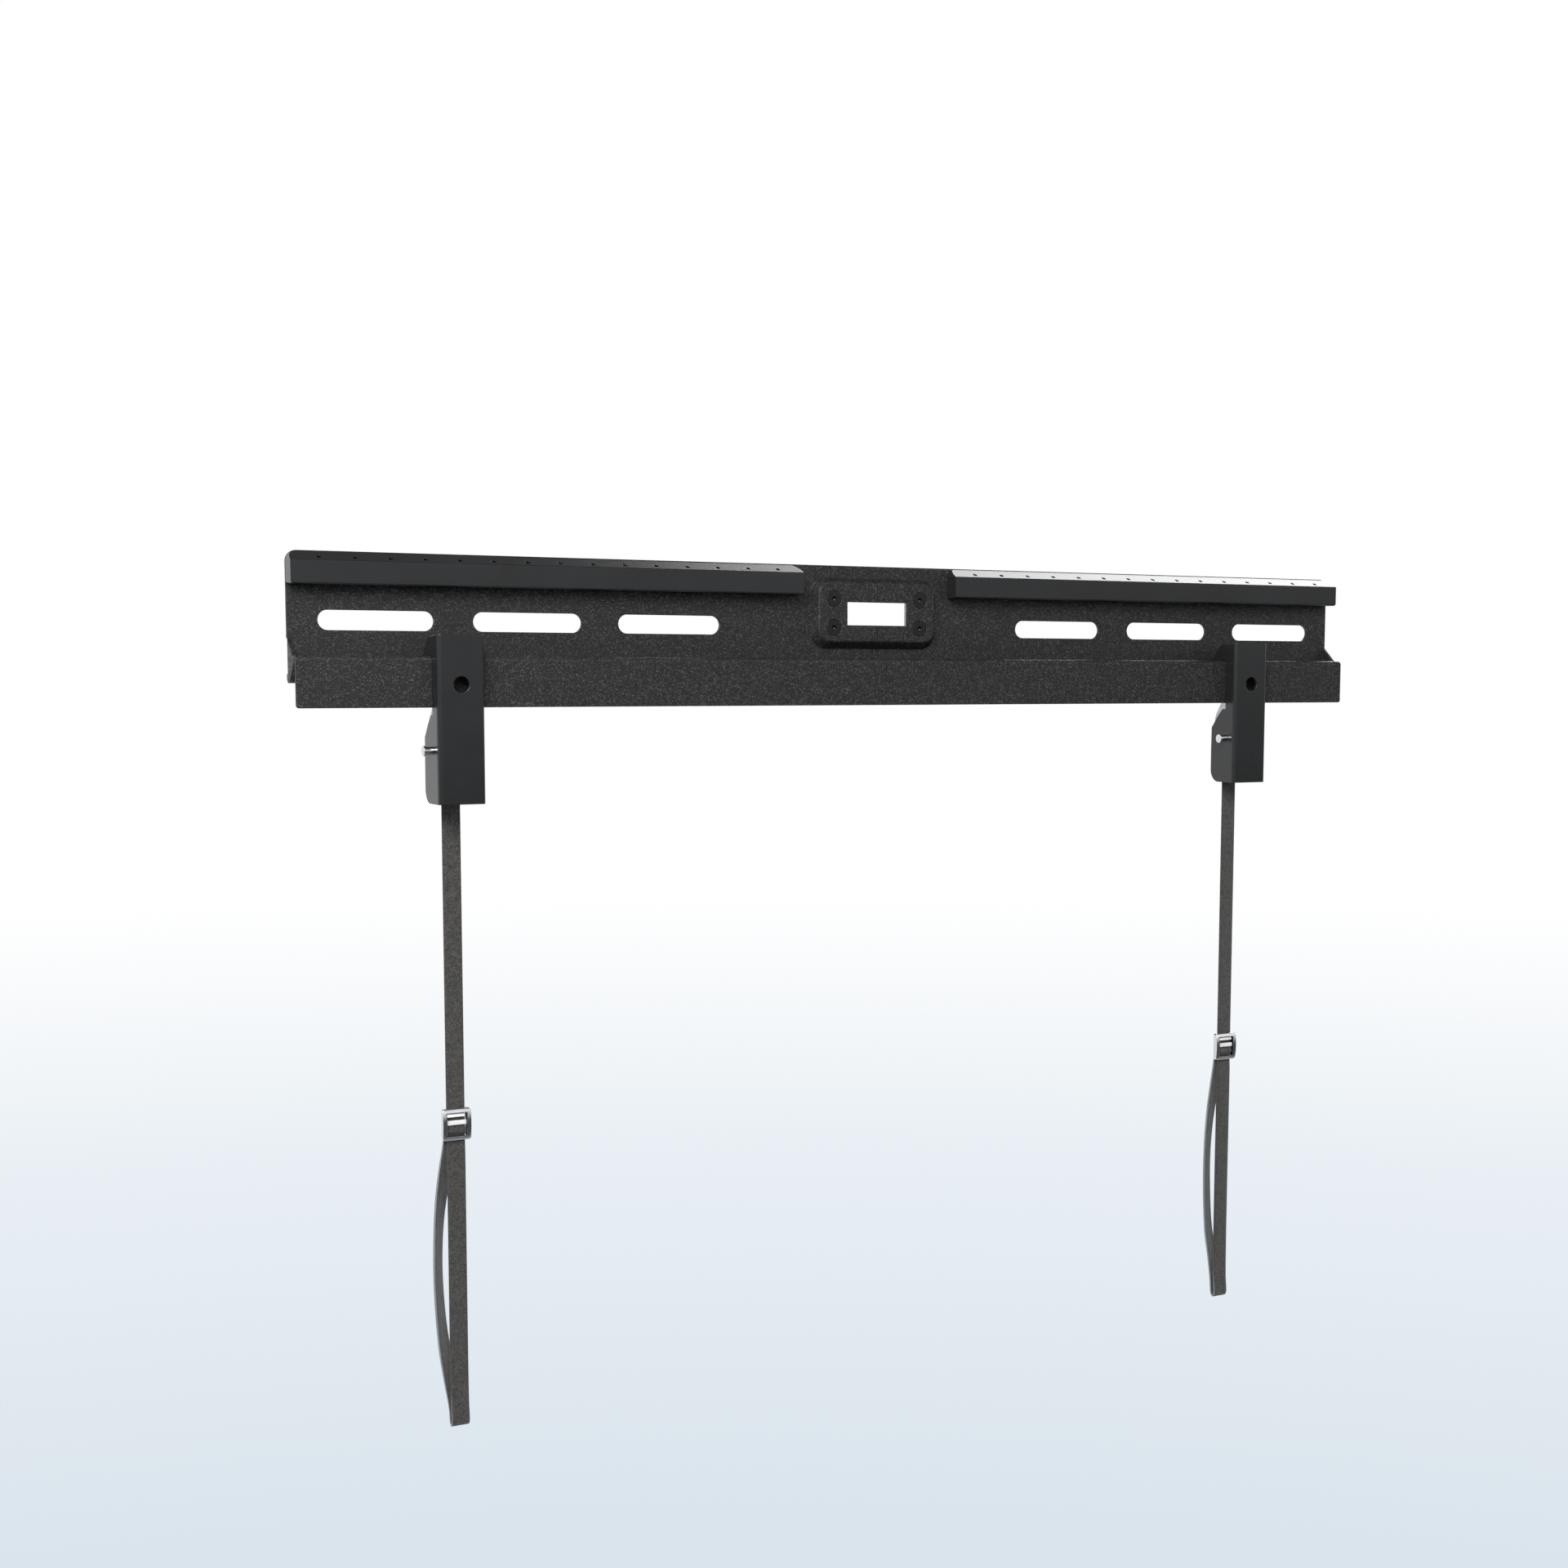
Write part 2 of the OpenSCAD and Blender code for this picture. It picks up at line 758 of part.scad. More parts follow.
// Torsion spring: a leg on the bracket's face, the coil on the pin, and a leg on the latch's rear wall
module latch_spring(x) {
  r = spring_d / 2;
  sweep = 360 * spring_turns + 120;
  steps = 14 * spring_turns;
  pitch = spring_wire * 1.12;
  half_l = pitch * sweep / 720;
  exit_y = -anchor_y + 2 - latch_t - spring_wire / 2 - loose;
  exit_l = (exit_y - pin_p[0] - r * cos(60)) / sin(60);
  foot_y = face_y + bracket_t + spring_wire / 2 + loose;
  coil = [
    for (i = [0:steps])
      [-half_l + pitch * sweep * i / steps / 360, pin_p[0] + r * cos(180 - sweep * i / steps),
        pin_p[1] + r * sin(180 - sweep * i / steps)]
  ];
  path = concat(
    [[-half_l, foot_y, pin_p[1] - 13], [-half_l, pin_p[0] - r, pin_p[1] - 2.5]],
    coil,
    [[half_l, exit_y, pin_p[1] + r * sin(60) - exit_l * cos(60)]]
  );
  sides = 8;
  points = [
    for (i = [0:len(path) - 1])
      let (t = tangent(path, i), n = unit(cross([1, 0, 0], t)), b = cross(t, n))
        for (j = [0:sides - 1])
          path[i] + spring_wire / 2 * (cos(360 * j / sides) * n + sin(360 * j / sides) * b)
  ];
  color("#9da1a6")
    translate([x, 0, 0])
      polyhedron(points, skin_faces(len(path), sides));
}

module latch_spring_left() {
  latch_spring(left_x);
}

module latch_spring_right() {
  latch_spring(right_x);
}

// Middle line of a strap: sideways, Y, Z and turn about the vertical.
// It is sewn round the strap pin, runs down through the buckle, makes the hand loop
// and comes back up behind itself. The loop's rear strand hangs to the left.
sewn_turn = [
  [0, 1.75, -19, 0], [0, 1.75, -15, 0], [0, 2.5, -8, 0], [0, 3.15, -2, 0], [0, 2.6, 1.8, 0], [0, 0, 3.15, 0],
  [0, -2.6, 1.8, 0], [0, -3.15, -2, 0], [0, -2.2, -8, 0], [0, -0.3, -15, 0], [0, 0, -19, 0]
];
front_strand = [
  [0, 0, -32, 0], [0, 0, -80, 0], [0, 0, -140, 0], [0, 0, -190, 0], [0, 0, -206, 0]
];
through_buckle = [
  [0, 0, 3, 0], [0, 0, -6, 0], [0, 0, -10.7, 0], [0, -1.1, -12.5, 0], [0, -1.9, -14, 0],
  [0, -1.1, -15.5, 0], [0, 0, -17.2, 0], [0, 0, -21, 0], [0, -0.3, -30, 0], [0, -0.2, -60, 0],
  [0, 0, -110, 0], [0, 0, -160, 0], [0, -0.4, -188, 0], [0, -1.3, -197, 0], [0, -1.3, -201, 0],
  [0, 0.4, -203, 0], [0, 2.3, -201, 0], [0, 2.9, -196, 0]
];
rear_strand_left = [
  [-1, 2.9, -188, 4], [-4.5, 3, -172, 22], [-9, 2.6, -150, 40], [-12, 1.9, -115, 47], [-12, 1.8, -85, 47],
  [-9.6, 2.2, -58, 38], [-5.4, 2.6, -38, 20], [-2.4, 2.2, -25, 5], [-1.2, 2, -16, 0], [0, 2, -6, 0],
  [0, 2, 3, 0]
];
rear_strand_right = [
  [-1, 2.9, -188, 4], [-4.5, 3, -172, 18], [-9, 3, -150, 27], [-11.6, 2.6, -115, 30], [-11.6, 2.4, -85, 30],
  [-9, 2.4, -58, 24], [-5, 2.5, -38, 14], [-2.2, 2.2, -25, 4], [-1, 2, -16, 0], [0, 2, -6, 0], [0, 2, 3, 0]
];

// Shifts a stretch of the middle line to its height
function lowered(stretch, z) = [for (p = stretch) [p[0], p[1] + strand_y, p[2] + z, p[3]]];

// Heights along the hand loop: the loop stretches in its middle, and its bottom fold keeps its shape
loop_set = 203;
fold_z = -185;
neck_z = -40;
function loop_z(z) =
  z > neck_z ? z
  : z < fold_z ? z + loop_set - loop_l
  : neck_z + (z - neck_z) * (loop_set - loop_l + fold_z - neck_z) / (fold_z - neck_z);

function looped(stretch) = [for (p = stretch) [p[0], p[1], loop_z(p[2]), p[3]]];

function strap_line(rear) = concat(
  lowered(sewn_turn, anchor_p[1]),
  lowered(front_strand, anchor_p[1]),
  lowered(looped(through_buckle), buckle_z),
  lowered(looped(rear), buckle_z)
);

// Smooth curve through the points, with a few steps in each stretch
function smooth(p, n) = [
  for (i = [0:len(p) - 2], k = [0:n - 1])
    let (
      a = p[max(i - 1, 0)], b = p[i], c = p[i + 1], d = p[min(i + 2, len(p) - 1)],
      m0 = (c - a) * norm(c - b) / (norm(c - b) + norm(b - a) + 0.001),
      m1 = (d - b) * norm(c - b) / (norm(c - b) + norm(d - c) + 0.001),
      s = k / n
    )
      (2 * s * s * s - 3 * s * s + 1) * b + (s * s * s - 2 * s * s + s) * m0
        + (3 * s * s - 2 * s * s * s) * c + (s * s * s - s * s) * m1,
  p[len(p) - 1]
];

module strap(x, rear) {
  line = smooth(strap_line(rear), 3);
  path = [for (p = line) [p[0], p[1], p[2]]];
  points = [
    for (i = [0:len(line) - 1])
      let (
        t = tangent(path, i),
        n = unit(cross(t, [cos(line[i][3]), sin(line[i][3]), 0])),
        w = cross(n, t)
      )
        for (c = [[-1, -1], [1, -1], [1, 1], [-1, 1]])
          path[i] + c[0] * strap_w / 2 * w + c[1] * strap_t / 2 * n
  ];
  color("#1b1c1e")
    translate([x, 0, 0])
      polyhedron(points, skin_faces(len(line), 4));
}

module strap_left() {
  strap(left_x, rear_strand_left);
}

module strap_right() {
  strap(right_x, rear_strand_right);
}

// Stamped frame with a crowned front: side rails, and top and bottom bars before the strap
module buckle_frame(x) {
  wall_back = strand_y + strap_t / 2 - 0.2;
  crown_r = (buckle_h * buckle_h / 4 + buckle_crown * buckle_crown) / 2 / buckle_crown;
  crown_a = asin(buckle_h / 2 / crown_r);
  crown_c = [bar_back - buckle_bar_t - buckle_crown + crown_r, -buckle_h / 2];
  color("#c4c7cb")
    translate([x, 0, buckle_z])
      difference() {
        intersection() {
          along_x(-buckle_w / 2, buckle_w / 2)
            polygon(concat(
              [[wall_back, 0]],
              arc(crown_c, crown_r, 180 - crown_a, 180 + crown_a),
              [[wall_back, -buckle_h]]
            ));
          along_y(bar_back - 2 * buckle_bar_t - buckle_crown, 0)
            plate_2d(-buckle_w / 2, -buckle_h, buckle_w / 2, 0, buckle_corner_r);
        }
        // Channel of the strap, and the window between the bars
        translate([-bar_in, bar_back, -buckle_h - over])
          cube([2 * bar_in, over - bar_back, buckle_h + 2 * over]);
        translate([-bar_in, bar_back - 3 * buckle_bar_t, -buckle_h + foot_bar_h])
          cube([2 * bar_in, 3 * buckle_bar_t + over, buckle_h - foot_bar_h - top_bar_h - brow_h]);
        translate([-bar_in, bar_back - 3 * buckle_bar_t, -top_bar_h - brow_h - fit])
          cube([2 * bar_in, 3 * buckle_bar_t - 1, brow_h + fit]);
        // Grooves that hold the ends of the cross bar
        translate([-bar_in - 1, bar_back - bar_t - fit, -bar_drop - bar_h - fit])
          cube([2 * bar_in + 2, bar_t + 2 * fit, bar_h + 2 * fit]);
      }
}

module buckle_frame_left() {
  buckle_frame(left_x);
}

module buckle_frame_right() {
  buckle_frame(right_x);
}

// Cross bar that grips the webbing
module buckle_bar(x) {
  half = bar_in + 0.9;
  color("#d2d5d8")
    translate([x - half, bar_back - bar_t, buckle_z - bar_drop - bar_h])
      cube([2 * half, bar_t, bar_h]);
}

module buckle_bar_left() {
  buckle_bar(left_x);
}

module buckle_bar_right() {
  buckle_bar(right_x);
}

rail_left();
rail_right();
nail_guide_left();
nail_guide_right();
splice_plate();
splice_nuts();
splice_screws();
bracket_left();
bracket_right();
latch_left();
latch_right();
latch_pin_left();
latch_pin_right();
pin_clip_left();
pin_clip_right();
latch_spring_left();
latch_spring_right();
strap_pin_left();
strap_pin_right();
strap_left();
strap_right();
buckle_frame_left();
buckle_frame_right();
buckle_bar_left();
buckle_bar_right();
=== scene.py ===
# %% [markdown]
# # A wall rail with hook brackets, dressed for a studio picture
#
# The rail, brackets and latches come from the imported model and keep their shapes. This lesson gives
# each of them the finish of the real thing, and makes the soft and small pieces that need a
# modelled mesh: the webbing straps, their buckles, the springs and the stitching. The object's
# sizes are written in millimetres and turned to metres, the frame's own unit, with MM. The studio
# round it is in metres.

# %% Load the fixed frame
import json
import math

import bmesh
import bpy
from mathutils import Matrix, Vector


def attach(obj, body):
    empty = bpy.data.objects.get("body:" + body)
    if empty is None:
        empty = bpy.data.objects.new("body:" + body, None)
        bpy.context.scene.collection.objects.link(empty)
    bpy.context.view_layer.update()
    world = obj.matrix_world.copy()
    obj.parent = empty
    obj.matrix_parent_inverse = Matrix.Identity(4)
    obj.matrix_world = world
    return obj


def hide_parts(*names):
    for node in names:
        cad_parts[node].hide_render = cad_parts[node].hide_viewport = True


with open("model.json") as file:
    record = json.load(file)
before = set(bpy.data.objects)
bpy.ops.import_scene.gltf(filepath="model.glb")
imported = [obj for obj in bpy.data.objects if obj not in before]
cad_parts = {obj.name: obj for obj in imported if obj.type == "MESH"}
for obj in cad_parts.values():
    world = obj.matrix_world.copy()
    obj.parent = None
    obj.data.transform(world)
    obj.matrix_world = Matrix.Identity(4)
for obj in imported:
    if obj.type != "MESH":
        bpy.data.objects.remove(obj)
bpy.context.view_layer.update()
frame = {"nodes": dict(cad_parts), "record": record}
MM = 0.001

# %% [markdown]
# ## The camera comes first
#
# The picture was taken from the left of the rail, level with the brackets' bolt holes, with the
# camera turned along the rail and a little down. The place, turn and lens below put the model's
# corners where the picture has them. The small shift is the part of the framing that a plain turn
# of the camera can't give.

# %% Camera at the picture's angle
CAMERA_PLACE = Vector((-726.6, -1256.4, -36.8)) * MM
CAMERA_YAW = math.radians(-27.96)
CAMERA_PITCH = math.radians(-5.44)
FOCAL_PX = 2596.2
CENTRE_PX = (972.24, 1082.24)
IMAGE_PX = 1920
SENSOR_MM = 36

camera_data = bpy.data.cameras.new("picture_camera")
camera_data.sensor_width = SENSOR_MM
camera_data.lens = SENSOR_MM * FOCAL_PX / IMAGE_PX
camera_data.shift_x = (IMAGE_PX / 2 - CENTRE_PX[0]) / IMAGE_PX
camera_data.shift_y = (CENTRE_PX[1] - IMAGE_PX / 2) / IMAGE_PX
camera_data.clip_start = 0.01
camera = bpy.data.objects.new("picture_camera", camera_data)
camera.location = CAMERA_PLACE
camera.rotation_euler = (math.pi / 2 + CAMERA_PITCH, 0, CAMERA_YAW)
bpy.context.collection.objects.link(camera)
bpy.context.scene.camera = camera
bpy.context.scene.view_settings.view_transform = "Standard"
print("lens", round(camera_data.lens, 2), "mm")

# %% [markdown]
# ## Where the straps run
#
# Each strap is sewn round a pin in the latch, drops straight through its buckle, turns up at the
# bottom and comes back behind itself, pushed aside by its own stiffness. The route is a list of
# given points, sideways from the bracket, then depth and height, then the turn of the
# webbing about the vertical in degrees.

# %% Strap routes
STRAP_W = 12
STRAP_T = 1.5
STRAND_Y = -7.5
PIN_Z = -90.0
BUCKLE_Z = -301.0
ROUTE_STEP = 1.5
TINY = 0.001
BRACKET_X = {"left": -302.6, "right": 304.4}
SEWN_TURN = [
    (0, 1.75, -19, 0), (0, 1.75, -15, 0), (0, 2.5, -8, 0), (0, 3.15, -2, 0), (0, 2.6, 1.8, 0),
    (0, 0, 3.15, 0), (0, -2.6, 1.8, 0), (0, -3.15, -2, 0), (0, -2.2, -8, 0), (0, -0.3, -15, 0),
    (0, 0, -19, 0),
]
FRONT_STRAND = [(0, 0, -32, 0), (0, 0, -80, 0), (0, 0, -140, 0), (0, 0, -190, 0), (0, 0, -206, 0)]
THROUGH_BUCKLE = [
    (0, 0, 3, 0), (0, 0, -6, 0), (0, 0, -10.7, 0), (0, -1.1, -12.5, 0), (0, -1.9, -14, 0),
    (0, -1.1, -15.5, 0), (0, 0, -17.2, 0), (0, 0, -21, 0), (0, -0.3, -30, 0), (0, -0.2, -60, 0),
    (0, 0, -110, 0), (0, 0, -160, 0), (0, -0.4, -188, 0), (0, -1.3, -197, 0), (0, -1.3, -201, 0),
    (0, 0.4, -203, 0), (0, 2.3, -201, 0), (0, 2.9, -196, 0),
]
REAR_STRAND = {
    "left": [
        (-1, 2.9, -188, 4), (-4.5, 3, -172, 22), (-9, 2.6, -150, 40), (-12, 1.9, -115, 47),
        (-12, 1.8, -85, 47), (-9.6, 2.2, -58, 38), (-5.4, 2.6, -38, 20), (-2.4, 2.2, -25, 5),
        (-1.2, 2, -16, 0), (0, 2, -6, 0), (0, 2, -1, 0),
    ],
    "right": [
        (-1, 2.9, -188, 4), (-4.5, 3, -172, 18), (-9, 3, -150, 27), (-11.6, 2.6, -115, 30),
        (-11.6, 2.4, -85, 30), (-9, 2.4, -58, 24), (-5, 2.5, -38, 14), (-2.2, 2.2, -25, 4),
        (-1, 2, -16, 0), (0, 2, -6, 0), (0, 2, -1, 0),
    ],
}


def lowered(stretch, z):
    return [(x, y + STRAND_Y, height + z, turn) for x, y, height, turn in stretch]


def strap_points(side):
    """The whole route of one strap, from its sewn end to its free end, in millimetres."""
    points = lowered(SEWN_TURN, PIN_Z) + lowered(FRONT_STRAND, PIN_Z)
    points += lowered(THROUGH_BUCKLE, BUCKLE_Z) + lowered(REAR_STRAND[side], BUCKLE_Z)
    return [Vector(p) for p in points]


def smooth_route(points):
    """A smooth curve through the points, with a new one about every ROUTE_STEP millimetres."""
    route = []
    for i in range(len(points) - 1):
        a, b = points[max(i - 1, 0)], points[i]
        c, d = points[i + 1], points[min(i + 2, len(points) - 1)]
        span, before, after = ((v - w).to_3d().length for v, w in ((c, b), (b, a), (d, c)))
        slope_b = (c - a) * (span / (span + before + TINY))
        slope_c = (d - b) * (span / (span + after + TINY))
        count = max(2, round(span / ROUTE_STEP))
        for k in range(count):
            s = k / count
            route.append(
                (2 * s**3 - 3 * s**2 + 1) * b + (s**3 - 2 * s**2 + s) * slope_b
                + (3 * s**2 - 2 * s**3) * c + (s**3 - s**2) * slope_c
            )
    return route + [points[-1]]


strap_routes = {side: smooth_route(strap_points(side)) for side in BRACKET_X}
for side, route in strap_routes.items():
    lengths = [(q - p).to_3d().length for p, q in zip(route, route[1:])]
    print("strap", side, round(sum(lengths)), "mm in", len(route), "steps")

# %% [markdown]
# ## Colours and a short way to add shader nodes
#
# Colours are written as the screen shows them and turned to the linear values that a shader needs.
# One small helper adds a node, sets it and links it, so each finish below reads as a recipe.

# %% Colour and node helpers
EDGE_SAMPLES = 6


def colour(hex_value):
    """An sRGB hex colour as linear RGBA."""
    parts = [int(hex_value[i:i + 2], 16) / 255 for i in (1, 3, 5)]
    linear = [p / 12.92 if p <= 0.04045 else ((p + 0.055) / 1.055) ** 2.4 for p in parts]
    return (*linear, 1.0)


def add(tree, kind, inputs=None, **settings):
    """Adds a node, sets its options, and fills or links its inputs."""
    made = tree.nodes.new(kind)
    for name, value in settings.items():
        setattr(made, name, value)
    for name, value in (inputs or {}).items():
        if isinstance(value, bpy.types.NodeSocket):
            tree.links.new(value, made.inputs[name])
        else:
            made.inputs[name].default_value = value
    return made


def new_finish(name):
    """An empty material with its shader, and the place on the piece in metres."""
    material = bpy.data.materials.new(name)
    material.use_nodes = True
    tree = material.node_tree
    shader = tree.nodes["Principled BSDF"]
    place = add(tree, "ShaderNodeTexCoord").outputs["Object"]
    return material, tree, shader, place


def ramp(tree, value, start, end, start_value=0.0, end_value=1.0):
    """A value that goes from start_value to end_value as the input goes from start to end."""
    return add(tree, "ShaderNodeMapRange", {
        "Value": value, "From Min": start, "From Max": end,
        "To Min": start_value, "To Max": end_value,
    }).outputs["Result"]


def calc(tree, operation, *values):
    """One step of arithmetic on numbers or sockets."""
    step = add(tree, "ShaderNodeMath", dict(enumerate(values)), operation=operation)
    return step.outputs["Value"]


def noise(tree, place, grain_mm, detail):
    """Smooth noise with grains of about grain_mm."""
    settings = {"Vector": place, "Scale": 1 / (grain_mm * MM), "Detail": detail}
    return add(tree, "ShaderNodeTexNoise", settings).outputs["Fac"]


def cell_tone(tree, place, cell_mm):
    """A random value for each cell of about cell_mm."""
    cells = add(tree, "ShaderNodeTexVoronoi", {"Vector": place, "Scale": 1 / (cell_mm * MM)})
    return add(tree, "ShaderNodeSeparateColor", {"Color": cells.outputs["Color"]}).outputs["Red"]


def blend(tree, factor, first, second):
    """A colour between two hex colours or sockets."""
    first, second = (colour(c) if isinstance(c, str) else c for c in (first, second))
    mix = add(tree, "ShaderNodeMix", {"Factor": factor, "A": first, "B": second}, data_type="RGBA")
    return mix.outputs["Result"]


def shaded_bump(tree, shader, height, depth_mm, strength, edge_mm):
    """Bump of a real depth, over edges that are rounded by edge_mm."""
    edge = add(tree, "ShaderNodeBevel", {"Radius": edge_mm * MM}, samples=EDGE_SAMPLES)
    bump = add(tree, "ShaderNodeBump", {
        "Height": height, "Distance": depth_mm * MM, "Strength": strength,
        "Normal": edge.outputs["Normal"],
    })
    tree.links.new(bump.outputs["Normal"], shader.inputs["Normal"])


# %% [markdown]
# ## Speckled powder coat on the rail
#
# The rail is folded steel with a textured powder coat: black grains that melt into a coarse skin,
# with a few flakes that catch the light. Grains and flakes are both about 0.6 mm. They are drawn
# coarser than the real ones, about 0.3 mm, which the picture could not show. A flake's own random
# tone sets its colour, its gloss and its height.

# %% Powder coat
POWDER_MM, POWDER_DEPTH_MM, POWDER_STRENGTH, POWDER_EDGE_MM = 0.6, 0.24, 0.8, 0.5
DULL_FLAKES = 0.7
DULL_AT, GLOSSY_AT = 1.5, -0.5


def speckled_powder_coat():
    material, tree, shader, place = new_finish("speckled_powder_coat")
    skin = noise(tree, place, POWDER_MM, 2.0)
    flake_tone = cell_tone(tree, place, POWDER_MM)
    tone = blend(tree, ramp(tree, flake_tone, DULL_FLAKES, 1.0), "#0f0f0f", "#464646")
    tree.links.new(tone, shader.inputs["Base Color"])
    tree.links.new(ramp(tree, flake_tone, DULL_AT, GLOSSY_AT), shader.inputs["Roughness"])
    height = calc(tree, "ADD", skin, flake_tone)
    shaded_bump(tree, shader, height, POWDER_DEPTH_MM, POWDER_STRENGTH, POWDER_EDGE_MM)
    return material


# %% [markdown]
# ## Moulded plastic, satin coat and plated steel
#
# The nail guides are moulded ABS with an even, slightly soft gloss. The brackets have a thin satin
# coat, smoother than the rail. Latches are zinc plated, so they are pale and a little cloudy, and
# pins and buckles are bright nickel. The buckles' brows and cross bars get a matt, nearly white
# plating, a painted highlight for the bright light they catch, and the walls inside their windows
# get a dark plating, which is painted shade. All of these drift between a deep and a pale tone in
# soft clouds over a fine skin, so one function makes them.

# %% Smooth finishes


def smooth_finish(name, deep, pale, clouds, skin, bump, **sockets):
    """A finish with a cloudy tone and a fine skin.

    Clouds and skin are (grain in mm, detail), and bump is (depth in mm, strength, rounding of
    edges in mm). The rest are the shader's own sockets.
    """
    material, tree, shader, place = new_finish(name)
    tone = blend(tree, noise(tree, place, *clouds), deep, pale)
    tree.links.new(tone, shader.inputs["Base Color"])
    for socket, value in sockets.items():
        shader.inputs[socket].default_value = value
    shaded_bump(tree, shader, noise(tree, place, *skin), *bump)
    return material


def plated_steel(name, deep, pale, cloud_mm, **sockets):
    """Plating over steel: its colour is its reflection, so platings differ mostly in roughness."""
    return smooth_finish(name, deep, pale, (cloud_mm, 4.0), (0.7, 2.0), (0.02, 0.2, 0.3), **sockets)


# %% [markdown]
# ## Black webbing
#
# The strap is polyester webbing, 12 mm wide. Fine ribs run across it, about 0.95 mm apart, and warp
# threads run along it, about 0.8 mm apart. Each thread is a little lighter or darker than the next.
# The weave follows the strap, so it reads the piece's own UV map, laid out in metres along and
# across the webbing. Fibre ends scatter light at a low angle, which sheen gives. The woven edges of
# the hand loop's rear run are painted paler, a painted highlight for the light that falls on them
# from the left.

# %% Webbing
WEFT_MM, WARP_MM, THREAD_MM, FUZZ_MM = 0.95, 0.8, 0.95, 0.5
WEAVE_SHARE = 0.35
SELVAGE_FROM_MM, SELVAGE_TO_MM = 5.5, 5.8
# Painted highlight: along this stretch of the strap, the rear run's woven edges are painted pale
PAINTED_EDGE_FROM_MM, PAINTED_EDGE_TO_MM = 420, 445


def polyester_webbing():
    material, tree, shader, place = new_finish("polyester_webbing")
    along = add(tree, "ShaderNodeUVMap", uv_map="webbing").outputs["UV"]
    parts = add(tree, "ShaderNodeSeparateXYZ", {"Vector": along}).outputs

    def ribs(value, spacing_mm):
        return calc(tree, "SINE", calc(tree, "MULTIPLY", value, 2 * math.pi / (spacing_mm * MM)))

    weave = calc(tree, "MULTIPLY", ribs(parts["X"], WEFT_MM), ribs(parts["Y"], WARP_MM))
    threads = calc(tree, "MULTIPLY_ADD", weave, WEAVE_SHARE, cell_tone(tree, place, THREAD_MM))
    tone = blend(tree, ramp(tree, threads, -0.3, 1.3), "#0d0c0c", "#4c4946")
    # Painted highlight: the rear run's woven edges are painted pale, standing in for the light from
    # the left on them
    off_middle = calc(tree, "ABSOLUTE", parts["Y"])
    selvage = ramp(tree, off_middle, SELVAGE_FROM_MM * MM, SELVAGE_TO_MM * MM)
    painted_edge_run = ramp(tree, parts["X"], PAINTED_EDGE_FROM_MM * MM, PAINTED_EDGE_TO_MM * MM)
    painted_edge_tone = blend(tree, calc(tree, "MULTIPLY", selvage, painted_edge_run), tone, "#767a7d")
    tree.links.new(painted_edge_tone, shader.inputs["Base Color"])
    height = calc(tree, "MULTIPLY_ADD", noise(tree, place, FUZZ_MM, 3.0), 0.8, weave)
    bump = add(tree, "ShaderNodeBump", {"Height": height, "Distance": 0.16 * MM, "Strength": 0.7})
    tree.links.new(bump.outputs["Normal"], shader.inputs["Normal"])
    shader.inputs["Roughness"].default_value = 0.72
    shader.inputs["Sheen Weight"].default_value = 0.35
    shader.inputs["Sheen Roughness"].default_value = 0.4
    return material


def sewing_thread():
    material, tree, shader, place = new_finish("sewing_thread")
    tone = blend(tree, noise(tree, place, 0.3, 2.0), "#101112", "#2c2d2f")
    tree.links.new(tone, shader.inputs["Base Color"])
    shader.inputs["Roughness"].default_value = 0.6
    return material


# %% All the finishes
FINISH = {
    "rail_coat": speckled_powder_coat(),
    "guide_plastic": smooth_finish(
        "moulded_abs", "#181819", "#212223", clouds=(40, 2.0), skin=(0.8, 2.0),
        bump=(0.02, 0.25, 0.35), Roughness=0.26, IOR=1.45,
    ),
    "bracket_coat": smooth_finish(
        "satin_coat", "#181819", "#202122", clouds=(25, 2.0), skin=(1.1, 3.0),
        bump=(0.03, 0.25, 0.8), Roughness=0.24,
    ),
    "zinc": plated_steel("zinc_plate", "#9a9ea3", "#c3c7cb", 6, Roughness=0.33, Metallic=1.0),
    "bright_steel": plated_steel(
        "bright_nickel", "#c4c7ca", "#e2e4e6", 12, Roughness=0.16, Metallic=1.0,
    ),
    "black_screw": smooth_finish(
        "blackened_steel", "#121314", "#1d1e20", clouds=(0.6, 2.0), skin=(0.6, 2.0),
        bump=(0.02, 0.3, 0.3), Roughness=0.36, Metallic=0.4,
    ),
    "webbing": polyester_webbing(),
}
thread_finish = sewing_thread()
# Painted highlight: a near-white matt plating for the buckles' brows and cross bars, for the bright
# light they catch
tumbled_zinc = plated_steel("tumbled_zinc", "#e4e4e2", "#f7f7f6", 3, Roughness=0.5, Metallic=0.3)
# Painted shade: a dark plating for the walls inside the buckles' windows, where shade falls
thin_plating = plated_steel("thin_plating", "#242628", "#3c3e40", 3, Roughness=0.4, Metallic=1.0)
print("finishes", len(FINISH), "for packed pieces, and three more for small parts")

# %% [markdown]
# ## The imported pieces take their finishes
#
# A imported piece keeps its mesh. Its material slots get the finish that the record names for it.

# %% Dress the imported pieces
slot_of_node = {part["node"]: part["material_slot"] for part in frame["record"]["subparts"]}
for name, piece in frame["nodes"].items():
    for material_slot in piece.material_slots:
        material_slot.material = FINISH[slot_of_node[name]]
print("dressed", len(slot_of_node), "packed pieces")

# %% [markdown]
# ## The straps as flat tubes
#
# A strap could be a curve with a flat profile, but a curve turns its profile by its own rules. Here
# each ring of the mesh is placed on the route by hand: across the strap, along it and out of it.
# The section is a flat oval, because woven edges are round. The rings also give the UV map that the
# weave follows.

# %% Webbing mesh
EDGE_R = 0.5
EDGE_STEPS, FLAT_STEPS = 4, 6


